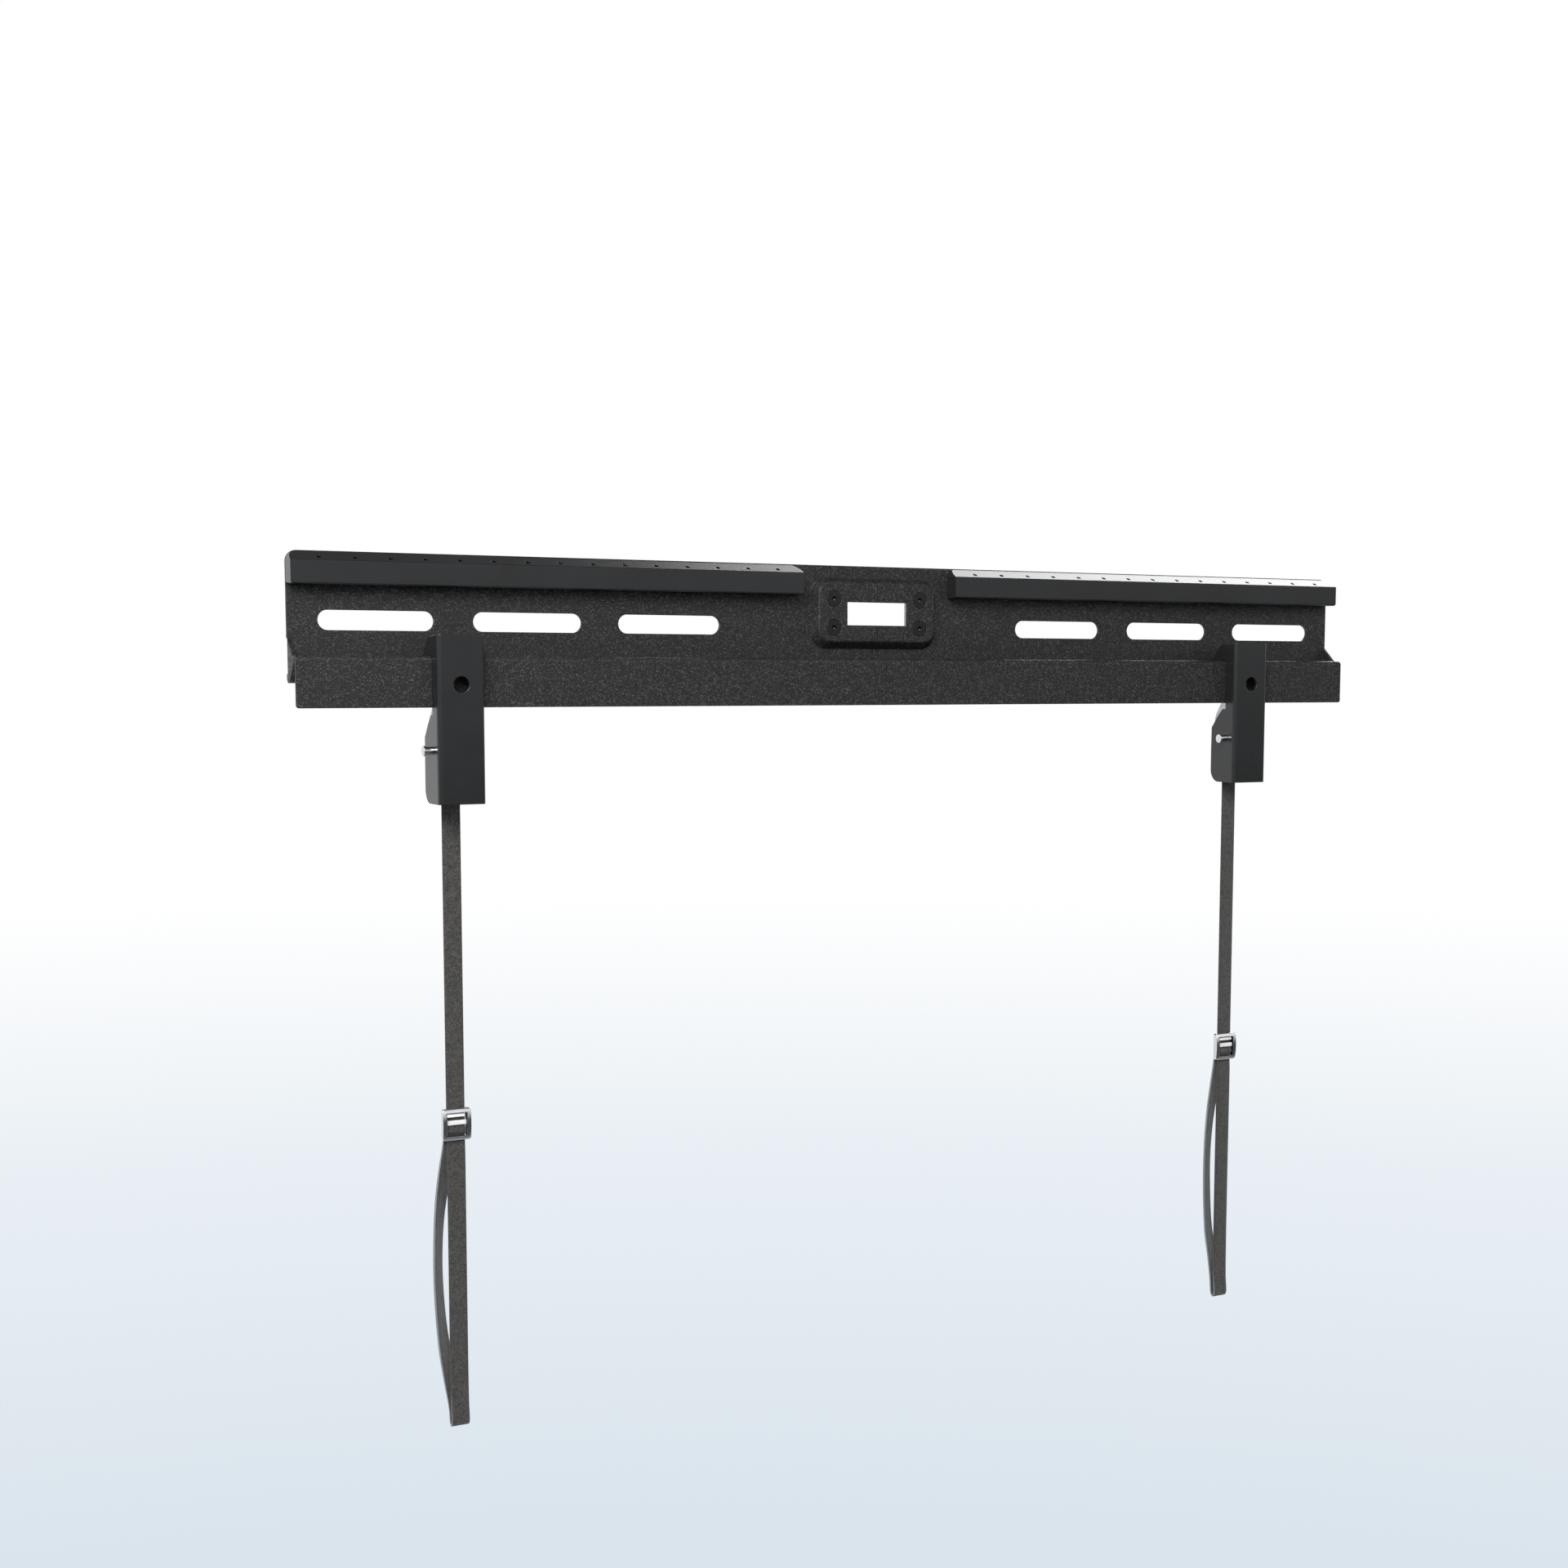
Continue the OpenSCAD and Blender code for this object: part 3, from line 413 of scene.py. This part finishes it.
def webbing_section():
    """Points round the strap's section, in millimetres: across, and out of the webbing."""
    half_t = STRAP_T / 2
    flat = STRAP_W - 2 * EDGE_R
    edge_turns = [math.pi * i / EDGE_STEPS for i in range(EDGE_STEPS + 1)]
    points = [(flat * i / FLAT_STEPS - flat / 2, -half_t) for i in range(FLAT_STEPS)]
    points += [(flat / 2 + EDGE_R * math.sin(a), -half_t * math.cos(a)) for a in edge_turns]
    points += [(flat / 2 - flat * i / FLAT_STEPS, half_t) for i in range(1, FLAT_STEPS)]
    points += [(-flat / 2 - EDGE_R * math.sin(a), half_t * math.cos(a)) for a in edge_turns[:-1]]
    return points


def route_frame(route, i):
    """Direction along the route at a point, and the webbing's own across and outward directions."""
    along = (route[min(i + 1, len(route) - 1)] - route[max(i - 1, 0)]).to_3d().normalized()
    turn = math.radians(route[i][3])
    out = along.cross(Vector((math.cos(turn), math.sin(turn), 0))).normalized()
    return along, out.cross(along), out


def webbing_mesh(name, route, x):
    mesh = bmesh.new()
    uv = mesh.loops.layers.uv.new("webbing")
    section = webbing_section()
    rings = []
    travelled = 0.0
    for i, point in enumerate(route):
        along, across, out = route_frame(route, i)
        if i:
            travelled += (point - route[i - 1]).to_3d().length
        centre = point.to_3d() + Vector((x, 0, 0))
        ring = [mesh.verts.new((centre + a * across + o * out) * MM) for a, o in section]
        rings.append((ring, travelled))
    count = len(section)
    for (ring_a, at_a), (ring_b, at_b) in zip(rings, rings[1:]):
        for j in range(count):
            k = (j + 1) % count
            face = mesh.faces.new((ring_a[j], ring_a[k], ring_b[k], ring_b[j]))
            face.smooth = True
            start, end = section[j][0], section[k][0]
            sides = ((at_a, start), (at_a, end), (at_b, end), (at_b, start))
            for loop, (length, width) in zip(face.loops, sides):
                loop[uv].uv = (length * MM, width * MM)
    mesh.faces.new(reversed(rings[0][0]))
    mesh.faces.new(rings[-1][0])
    bmesh.ops.recalc_face_normals(mesh, faces=mesh.faces)
    data = bpy.data.meshes.new(name)
    mesh.to_mesh(data)
    mesh.free()
    data.materials.append(FINISH["webbing"])
    piece = bpy.data.objects.new(name, data)
    bpy.context.collection.objects.link(piece)
    return piece


for side, x in BRACKET_X.items():
    strap = webbing_mesh(f"webbing_{side}", strap_routes[side], x)
    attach(strap, f"strap_{side}")
    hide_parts(f"strap_{side}")
    print(strap.name, len(strap.data.polygons), "faces")

# %% [markdown]
# ## Stitches
#
# Two rows of lock stitches hold the sewn turn below the strap pin. They are all the same, so
# Geometry Nodes sets one small thread bar on each point of a grid, turns it to lie along the strap,
# and joins the lot into one mesh.

# %% Stitch tree
ROUND_SIDES = 8


def new_tree(name, inputs):
    """A Geometry Nodes group with one geometry output, and number inputs with their defaults."""
    tree = bpy.data.node_groups.new(name, "GeometryNodeTree")
    tree.interface.new_socket("Geometry", in_out="OUTPUT", socket_type="NodeSocketGeometry")
    for label, (kind, default) in inputs.items():
        socket = tree.interface.new_socket(label, in_out="INPUT", socket_type=kind)
        socket.default_value = default
    return tree, add(tree, "NodeGroupInput"), add(tree, "NodeGroupOutput")


def close_tree(tree, output, geometry, finish):
    """Ends a tree: instances become real, and the result gets its material."""
    real = add(tree, "GeometryNodeRealizeInstances", {"Geometry": geometry})
    set_finish = add(tree, "GeometryNodeSetMaterial", {"Geometry": real.outputs["Geometry"]})
    set_finish.inputs["Material"].default_value = finish
    tree.links.new(set_finish.outputs["Geometry"], output.inputs["Geometry"])


def grown(name, tree, **values):
    """Runs a tree, with some of its inputs changed, and keeps the result as a plain mesh."""
    seed_mesh = bpy.data.meshes.new(name + "_seed")
    seed = bpy.data.objects.new(name + "_seed", seed_mesh)
    bpy.context.collection.objects.link(seed)
    modifier = seed.modifiers.new("grow", "NODES")
    modifier.node_group = tree
    for item in tree.interface.items_tree:
        if item.in_out == "INPUT" and item.name in values:
            modifier[item.identifier] = values[item.name]
    bpy.context.view_layer.update()
    evaluated = seed.evaluated_get(bpy.context.evaluated_depsgraph_get())
    data = bpy.data.meshes.new_from_object(evaluated)
    seed.modifiers.remove(modifier)
    bpy.data.objects.remove(seed)
    data.name = name
    piece = bpy.data.objects.new(name, data)
    bpy.context.collection.objects.link(piece)
    return piece


def stitch_tree():
    tree, given, output = new_tree("stitch_rows", {
        "Rows": ("NodeSocketInt", 2),
        "Stitches": ("NodeSocketInt", 3),
        "Row width": ("NodeSocketFloat", 8 * MM),
        "Row length": ("NodeSocketFloat", 5 * MM),
        "Thread radius": ("NodeSocketFloat", 0.25 * MM),
        "Stitch length": ("NodeSocketFloat", 2 * MM),
    })
    grid = add(tree, "GeometryNodeMeshGrid", {
        "Size X": given.outputs["Row width"], "Size Y": given.outputs["Row length"],
        "Vertices X": given.outputs["Rows"], "Vertices Y": given.outputs["Stitches"],
    })
    thread = add(tree, "GeometryNodeMeshCylinder", {
        "Vertices": ROUND_SIDES, "Radius": given.outputs["Thread radius"],
        "Depth": given.outputs["Stitch length"],
    })
    laid = add(tree, "GeometryNodeTransform", {
        "Geometry": thread.outputs["Mesh"], "Rotation": (math.pi / 2, 0, 0),
    })
    rows = add(tree, "GeometryNodeInstanceOnPoints", {
        "Points": grid.outputs["Mesh"], "Instance": laid.outputs["Geometry"],
    })
    close_tree(tree, output, rows.outputs["Instances"], thread_finish)
    return tree


# %% Sew the straps
SEAM_DROP, SEWN_END_Y = 17, 1.75
SEAM_Z = PIN_Z - SEAM_DROP
SEAM_Y = STRAND_Y + SEWN_END_Y + STRAP_T / 2
stitches = stitch_tree()
for side, x in BRACKET_X.items():
    sewn = grown(f"stitches_{side}", stitches)
    # The grid lies flat: stand it up against the strap's back
    for vertex in sewn.data.vertices:
        u, v, w = vertex.co
        vertex.co = (x * MM + u, SEAM_Y * MM - w, SEAM_Z * MM + v)
    sewn.data.flip_normals()
    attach(sewn, f"strap_{side}")
    print(sewn.name, len(sewn.data.polygons), "faces")

# %% [markdown]
# ## Slide buckles
#
# A buckle is stamped from one piece of steel: a crowned frame with rounded rims, a narrow lip
# folded in below its top bar, and a loose cross bar that grips the webbing. Its look comes from its
# soft rims, so the frame is a grid of points on the crown whose sharp edges are bevelled round.

# %% Buckle frame
BUCKLE_W, BUCKLE_H, BUCKLE_CROWN = 18.5, 20.0, 1.2
WEBBING_GAP, PLATE_DEPTH = 0.2, 1.8
BAR_BACK_Y = STRAND_Y - STRAP_T / 2 - WEBBING_GAP
BUCKLE_FRONT_Y = BAR_BACK_Y - PLATE_DEPTH
BUCKLE_BACK_Y = STRAND_Y + STRAP_T / 2 - WEBBING_GAP
BUCKLE_RAIL, TOP_BAR_H, FOOT_BAR_H = 2.9, 3.0, 2.5
WINDOW_HALF, WINDOW_ROWS = BUCKLE_W / 2 - BUCKLE_RAIL, 6
CORNER_R, CORNER_STEPS = 1.5, 4
RIM_R, RIM_STEPS, RIM_FROM_DEGREES = 0.55, 3, 40
BROW_H, BROW_TUCK, BROW_DEPTH, BROW_LEAN = 2.2, 0.4, 1.1, 0.5
BROW_LEFT_GAP, BROW_RIGHT_GAP = 0.1, 0.8
PLAIN, PAINTED_LIT_BROW, PAINTED_SHADE_WALL = 0, 1, 2


def crown_y(z):
    """Depth of the crowned front at a height below the buckle's top edge."""
    share = (z + BUCKLE_H / 2) / (BUCKLE_H / 2)
    return BUCKLE_FRONT_Y - BUCKLE_CROWN * (1 - share * share)


def add_brow(mesh):
    """The lip below the top bar: a block whose front leans forward with height."""
    left, right = BROW_LEFT_GAP - WINDOW_HALF, WINDOW_HALF - BROW_RIGHT_GAP
    rings = []
    for z in (-TOP_BAR_H - BROW_H, BROW_TUCK - TOP_BAR_H):
        front_y = BAR_BACK_Y - BROW_DEPTH + BROW_LEAN * (z + TOP_BAR_H)
        spots = ((left, front_y), (right, front_y), (right, BAR_BACK_Y), (left, BAR_BACK_Y))
        rings.append([mesh.verts.new((x, y, z)) for x, y in spots])
    low, high = rings
    faces = [mesh.faces.new(reversed(low)), mesh.faces.new(high)]
    for j in range(4):
        k = (j + 1) % 4
        faces.append(mesh.faces.new((low[j], low[k], high[k], high[j])))
    # The brow takes the near-white plating that paints its highlight
    for face in faces:
        face.material_index = PAINTED_LIT_BROW


def piece_from(mesh, name, x, z):
    """Turns a bmesh in millimetres into a piece at a place along the rail and a height."""
    bmesh.ops.remove_doubles(mesh, verts=mesh.verts, dist=TINY)
    bmesh.ops.recalc_face_normals(mesh, faces=mesh.faces)
    for vertex in mesh.verts:
        vertex.co = (Vector((x, 0, z)) + vertex.co) * MM
    data = bpy.data.meshes.new(name)
    mesh.to_mesh(data)
    mesh.free()
    piece = bpy.data.objects.new(name, data)
    bpy.context.collection.objects.link(piece)
    return piece


def crowned_frame():
    """One closed mesh: deep side rails, and shallower top and bottom bars before the webbing."""
    mesh = bmesh.new()
    xs = [-BUCKLE_W / 2, -WINDOW_HALF, WINDOW_HALF, BUCKLE_W / 2]
    row_h = (BUCKLE_H - TOP_BAR_H - FOOT_BAR_H) / WINDOW_ROWS
    zs = [0, *(-TOP_BAR_H - row_h * i for i in range(WINDOW_ROWS + 1)), -BUCKLE_H]
    last = len(zs) - 2
    front = [[mesh.verts.new((x, crown_y(z), z)) for x in xs] for z in zs]
    back = [[mesh.verts.new((x, BUCKLE_BACK_Y, z)) for x in xs] for z in zs]
    bar = {
        (j, i): mesh.verts.new((xs[i], BAR_BACK_Y, zs[j]))
        for j in (0, 1, last, last + 1) for i in (1, 2)
    }
    for j in range(len(zs) - 1):
        in_bar = j in (0, last)
        for i in range(3):
            if i != 1 or in_bar:
                mesh.faces.new((front[j][i], front[j][i + 1], front[j + 1][i + 1], front[j + 1][i]))
            if i != 1:
                mesh.faces.new((back[j][i], back[j + 1][i], back[j + 1][i + 1], back[j][i + 1]))
        for i in (0, 3):
            mesh.faces.new((front[j][i], front[j + 1][i], back[j + 1][i], back[j][i]))
        if in_bar:
            mesh.faces.new((bar[j, 1], bar[j + 1, 1], bar[j + 1, 2], bar[j, 2]))
            for i in (1, 2):
                mesh.faces.new((bar[j, i], bar[j + 1, i], back[j + 1][i], back[j][i]))
        else:
            for i in (1, 2):
                wall = [front[j][i], front[j + 1][i]]
                wall += [bar[last, i]] if j + 1 == last else []
                wall += [back[j + 1][i], back[j][i]]
                wall += [bar[1, i]] if j == 1 else []
                # The window's inner walls take the dark plating that paints their shade
                mesh.faces.new(wall).material_index = PAINTED_SHADE_WALL
    for j in (0, last + 1):
        mesh.faces.new((front[j][0], front[j][1], bar[j, 1], back[j][1], back[j][0]))
        mesh.faces.new((front[j][1], front[j][2], bar[j, 2], bar[j, 1]))
        mesh.faces.new((front[j][2], front[j][3], back[j][3], back[j][2], bar[j, 2]))
    for j in (1, last):
        # The window's top and bottom edges take the painted shade plating too
        edge_face = mesh.faces.new((front[j][1], front[j][2], bar[j, 2], bar[j, 1]))
        edge_face.material_index = PAINTED_SHADE_WALL
    corners = [mesh.edges.get((front[j][i], back[j][i])) for j in (0, last + 1) for i in (0, 3)]
    bmesh.ops.bevel(
        mesh, geom=corners, offset=CORNER_R, segments=CORNER_STEPS, profile=0.5, affect="EDGES",
    )
    return mesh


for side, x in BRACKET_X.items():
    ring = crowned_frame()
    add_brow(ring)
    frame_piece = piece_from(ring, f"stamped_buckle_{side}", x, BUCKLE_Z)
    rim = frame_piece.modifiers.new("rim", "BEVEL")
    rim.width = RIM_R * MM
    rim.segments = RIM_STEPS
    rim.limit_method = "ANGLE"
    rim.angle_limit = math.radians(RIM_FROM_DEGREES)
    for polygon in frame_piece.data.polygons:
        polygon.use_smooth = True
    # Painted light: the brow's near-white plating is a painted highlight, and the window walls' dark
    # plating is painted shade
    finishes = {PLAIN: FINISH["bright_steel"], PAINTED_LIT_BROW: tumbled_zinc, PAINTED_SHADE_WALL: thin_plating}
    for index in sorted(finishes):
        frame_piece.data.materials.append(finishes[index])
    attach(frame_piece, f"strap_{side}")
    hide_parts(f"buckle_frame_{side}")
    print(frame_piece.name, len(frame_piece.data.polygons), "faces before bevels")

# %% [markdown]
# ## Ribbed cross bars
#
# The cross bar has fine ribs across its front, so that it bites the webbing. Ribs repeat, so
# Geometry Nodes lays a short round rib on each point of a line along the bar and joins them with
# the flat bar behind.

# %% Cross bars
BAR_L, BAR_H, BAR_T = 14.3, 2.8, 1.1
BAR_DROP, BAR_STAND_OFF = 7.6, 0.8
RIBS, RIB_R = 26, 0.22
RIBBED_SHARE_OF_HEIGHT, RIBBED_SHARE_OF_HALF = 0.8, 0.8


def rib_tree():
    tree, given, output = new_tree("ribbed_bar", {
        "Ribs": ("NodeSocketInt", RIBS),
        "Bar length": ("NodeSocketFloat", BAR_L * MM),
        "Bar height": ("NodeSocketFloat", BAR_H * MM),
        "Bar depth": ("NodeSocketFloat", BAR_T * MM),
        "Rib radius": ("NodeSocketFloat", RIB_R * MM),
    })
    length, height = given.outputs["Bar length"], given.outputs["Bar height"]
    depth = given.outputs["Bar depth"]
    size = add(tree, "ShaderNodeCombineXYZ", {"X": length, "Y": depth, "Z": height})
    bar = add(tree, "GeometryNodeMeshCube", {"Size": size.outputs["Vector"]})
    rib = add(tree, "GeometryNodeMeshCylinder", {
        "Vertices": ROUND_SIDES, "Radius": given.outputs["Rib radius"],
        "Depth": calc(tree, "MULTIPLY", height, RIBBED_SHARE_OF_HEIGHT),
    })
    front = calc(tree, "MULTIPLY", depth, -0.5)
    ends = [
        add(tree, "ShaderNodeCombineXYZ", {
            "X": calc(tree, "MULTIPLY", length, way * RIBBED_SHARE_OF_HALF / 2), "Y": front,
        }).outputs["Vector"]
        for way in (-1, 1)
    ]
    line = add(tree, "GeometryNodeMeshLine", {
        "Count": given.outputs["Ribs"], "Start Location": ends[0], "Offset": ends[1],
    }, mode="END_POINTS")
    ribs = add(tree, "GeometryNodeInstanceOnPoints", {
        "Points": line.outputs["Mesh"], "Instance": rib.outputs["Mesh"],
    })
    joined = add(tree, "GeometryNodeJoinGeometry")
    tree.links.new(bar.outputs["Mesh"], joined.inputs["Geometry"])
    tree.links.new(ribs.outputs["Instances"], joined.inputs["Geometry"])
    # The bars take the near-white plating that paints their highlight
    close_tree(tree, output, joined.outputs["Geometry"], tumbled_zinc)
    return tree


ribbed_bar = rib_tree()
for side, x in BRACKET_X.items():
    bar = grown(f"cross_bar_{side}", ribbed_bar)
    bar_y = STRAND_Y - STRAP_T / 2 - BAR_STAND_OFF
    place = Vector((x, bar_y, BUCKLE_Z - BAR_DROP - BAR_H / 2)) * MM
    for vertex in bar.data.vertices:
        vertex.co += place
    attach(bar, f"strap_{side}")
    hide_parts(f"buckle_bar_{side}")
    print(bar.name, len(bar.data.polygons), "faces")

# %% [markdown]
# ## Latch springs
#
# A torsion spring winds round the latch pin: one leg stands on the bracket's face, the other pushes
# the latch's rear wall. The turns repeat, so Geometry Nodes draws them as a spiral, reads where it
# starts and ends, and runs a straight leg from each end, all swept with one round wire.

# %% Spring tree
PIN_Y, PIN_AXIS_Z = -21.3, -78.3
SPRING_R, SPRING_WIRE_R, SPRING_PITCH = 3.9, 0.5, 1.12
SPRING_TURNS = 5 + 1 / 3
SPRING_L = SPRING_PITCH * SPRING_TURNS
COIL_STEPS, WIRE_SIDES = 28, 12


def spring_tree():
    tree, given, output = new_tree("torsion_spring", {
        "Turns": ("NodeSocketFloat", SPRING_TURNS),
        "Coil radius": ("NodeSocketFloat", SPRING_R * MM),
        "Coil length": ("NodeSocketFloat", SPRING_L * MM),
        "Wire radius": ("NodeSocketFloat", SPRING_WIRE_R * MM),
        "Foot": ("NodeSocketVector", (0, 0, 0)),
        "Tip": ("NodeSocketVector", (0, 0, 0)),
    })
    coil = add(tree, "GeometryNodeCurveSpiral", {
        "Resolution": COIL_STEPS, "Rotations": given.outputs["Turns"],
        "Start Radius": given.outputs["Coil radius"], "End Radius": given.outputs["Coil radius"],
        "Height": given.outputs["Coil length"],
    }).outputs["Curve"]
    wires = add(tree, "GeometryNodeJoinGeometry")
    tree.links.new(coil, wires.inputs["Geometry"])
    for leg_end, share in (("Foot", 0.0), ("Tip", 1.0)):
        end = add(tree, "GeometryNodeSampleCurve", {"Curves": coil, "Factor": share}, mode="FACTOR")
        leg = add(tree, "GeometryNodeCurvePrimitiveLine", {
            "Start": end.outputs["Position"], "End": given.outputs[leg_end],
        })
        tree.links.new(leg.outputs["Curve"], wires.inputs["Geometry"])
    section = add(tree, "GeometryNodeCurvePrimitiveCircle", {
        "Resolution": WIRE_SIDES, "Radius": given.outputs["Wire radius"],
    })
    wire = add(tree, "GeometryNodeCurveToMesh", {
        "Curve": wires.outputs["Geometry"], "Profile Curve": section.outputs["Curve"],
        "Fill Caps": True,
    })
    close_tree(tree, output, wire.outputs["Mesh"], FINISH["bright_steel"])
    return tree


# %% Wind the springs
BRACKET_INNER_Y, LATCH_WALL_Y = -29.1, -7.0
LEG_GAP, FOOT_DROP = 0.2, 13
TIP_TURN = math.radians(60)
torsion_spring = spring_tree()


def spring_space(y, z):
    """A point of the model's side view, in the spiral's own space, in metres."""
    return (PIN_Y - y) * MM, (PIN_AXIS_Z - z) * MM


# The foot runs down to the bracket's face, and the tip leaves the coil at a tangent for the latch
foot_y = BRACKET_INNER_Y + SPRING_WIRE_R + LEG_GAP
foot_z = PIN_AXIS_Z - FOOT_DROP
tip_y = LATCH_WALL_Y - SPRING_WIRE_R - LEG_GAP
tip_reach = (tip_y - PIN_Y - SPRING_R * math.cos(TIP_TURN)) / math.sin(TIP_TURN)
tip_z = PIN_AXIS_Z + SPRING_R * math.sin(TIP_TURN) - tip_reach * math.cos(TIP_TURN)
for side, x in BRACKET_X.items():
    spring = grown(
        f"torsion_spring_{side}", torsion_spring,
        Foot=(*spring_space(foot_y, foot_z), 0), Tip=(*spring_space(tip_y, tip_z), SPRING_L * MM),
    )
    for vertex in spring.data.vertices:
        u, v, w = vertex.co
        vertex.co = ((x - SPRING_L / 2) * MM + w, PIN_Y * MM - u, PIN_AXIS_Z * MM - v)
    for polygon in spring.data.polygons:
        polygon.use_smooth = True
    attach(spring, f"bracket_{side}")
    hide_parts(f"latch_spring_{side}")
    print(spring.name, len(spring.data.polygons), "faces")

# %% [markdown]
# ## Floor, world and lamps
#
# The mount hangs before a white backdrop, over a pale floor that is bluer near the camera. What the
# metal and the black coats mirror makes most of their look, so mirrored rays find a room: the white
# backdrop behind, a dim lower room and a bright upper one in front, and a dark ceiling. The room
# also makes the ends and the sloped tops pale, as a black coat mirrors more when it is seen from a
# lower angle.

# %% Floor
FLOOR_Z, FLOOR_HALF = -0.64, 30.0
NEAR_SPOT = (-0.73, -1.26, FLOOR_Z)
FAR_SHARE, MIDDLE_SHARE, NEAR_SHARE = 0.168, 0.36, 0.667
FRONT_Y, BACK_Y = -0.6, 0.4
FRONT_SHADE, BACK_SHADE = 0.08, 1.0


def mixed(tree, factor, first, second):
    """The first shader where the factor is 0, and the second where it is 1."""
    return add(tree, "ShaderNodeMixShader", {0: factor, 1: first, 2: second}).outputs["Shader"]


floor_data = bpy.data.meshes.new("studio_floor")
floor_corners = [
    (x * FLOOR_HALF, y * FLOOR_HALF, FLOOR_Z) for x, y in ((-1, -1), (1, -1), (1, 1), (-1, 1))
]
floor_data.from_pydata(floor_corners, [], [(0, 1, 2, 3)])
floor = bpy.data.objects.new("studio_floor", floor_data)
bpy.context.collection.objects.link(floor)
floor_paint, tree, shader, place = new_finish("studio_floor_paint")
distance = add(tree, "ShaderNodeVectorMath", {0: place, 1: NEAR_SPOT}, operation="DISTANCE")
nearness = calc(tree, "DIVIDE", 1.0, distance.outputs["Value"])
far_tone = blend(tree, ramp(tree, nearness, FAR_SHARE, MIDDLE_SHARE), "#ffffff", "#e9eff4")
floor_tone = blend(tree, ramp(tree, nearness, MIDDLE_SHARE, NEAR_SHARE), far_tone, "#dae4ec")
tree.links.new(floor_tone, shader.inputs["Base Color"])
shader.inputs["Roughness"].default_value = 0.9
shader.inputs["Specular IOR Level"].default_value = 0.0
floor_y = add(tree, "ShaderNodeSeparateXYZ", {"Vector": place}).outputs["Y"]
mirrored_strength = ramp(tree, floor_y, FRONT_Y, BACK_Y, FRONT_SHADE, BACK_SHADE)


def floor_glow(tone, strength):
    """Light that the floor gives off, so that lamps don't change its tone."""
    light = add(tree, "ShaderNodeEmission", {"Color": tone, "Strength": strength})
    return light.outputs["Emission"]


ray = add(tree, "ShaderNodeLightPath").outputs
mirrored = floor_glow(colour("#ffffff"), mirrored_strength)
lit_or_mirrored = mixed(tree, ray["Is Glossy Ray"], shader.outputs["BSDF"], mirrored)
floor_look = mixed(tree, ray["Is Camera Ray"], lit_or_mirrored, floor_glow(floor_tone, 1.0))
tree.links.new(floor_look, tree.nodes["Material Output"].inputs["Surface"])
floor_data.materials.append(floor_paint)

# %% World
LOW_ROOM_SHADE, HIGH_ROOM_SHADE, BACKDROP_SHADE, CEILING_SHADE = 0.1, 1.25, 1.0, 0.12
LOW_ROOM_TO, HIGH_ROOM_FROM = -0.08, 0.2
FRONT_TO, BACKDROP_FROM = -0.5, 0.1
WALLS_TO, CEILING_FROM = 0.25, 0.5
SOFT_SHARE = 0.62

world = bpy.data.worlds.new("studio")
bpy.context.scene.world = world
world.use_nodes = True
tree = world.node_tree
heading = add(tree, "ShaderNodeTexCoord").outputs["Generated"]
heading_parts = add(tree, "ShaderNodeSeparateXYZ", {"Vector": heading}).outputs
up, back = heading_parts["Z"], heading_parts["Y"]
front_light = ramp(tree, up, LOW_ROOM_TO, HIGH_ROOM_FROM, LOW_ROOM_SHADE, HIGH_ROOM_SHADE)
wall_light = ramp(tree, back, FRONT_TO, BACKDROP_FROM, front_light, BACKDROP_SHADE)
ceiling_light = ramp(tree, up, WALLS_TO, CEILING_FROM, 1.0, CEILING_SHADE)


def white_light(strength):
    """White light from all round, with one strength or a strength for each direction."""
    settings = {"Color": colour("#ffffff"), "Strength": strength}
    return add(tree, "ShaderNodeBackground", settings).outputs["Background"]


soft = white_light(calc(tree, "MULTIPLY", ceiling_light, SOFT_SHARE))
mirrored = white_light(calc(tree, "MULTIPLY", wall_light, ceiling_light))
ray = add(tree, "ShaderNodeLightPath").outputs
seen_straight = calc(tree, "MAXIMUM", ray["Is Camera Ray"], ray["Is Transmission Ray"])
around = mixed(tree, ray["Is Glossy Ray"], soft, mirrored)
sky = mixed(tree, seen_straight, around, white_light(1.0))
tree.links.new(sky, tree.nodes["World Output"].inputs["Surface"])

# %% Soft lamps
LAMP_TARGET = Vector((0.0, 0.0, -0.15))


def soft_lamp(name, place, width, power):
    """A square lamp that looks at the middle of the mount."""
    data = bpy.data.lights.new(name, "AREA")
    data.size = width
    data.energy = power
    lamp = bpy.data.objects.new(name, data)
    lamp.location = place
    lamp.rotation_euler = (LAMP_TARGET - Vector(place)).to_track_quat("-Z", "Y").to_euler()
    bpy.context.collection.objects.link(lamp)


soft_lamp("key", (-1.2, -1.45, 1.1), width=1.1, power=68)
soft_lamp("rim", (2.7, 2.4, 2.0), width=2.0, power=75)
print("lamps ready")
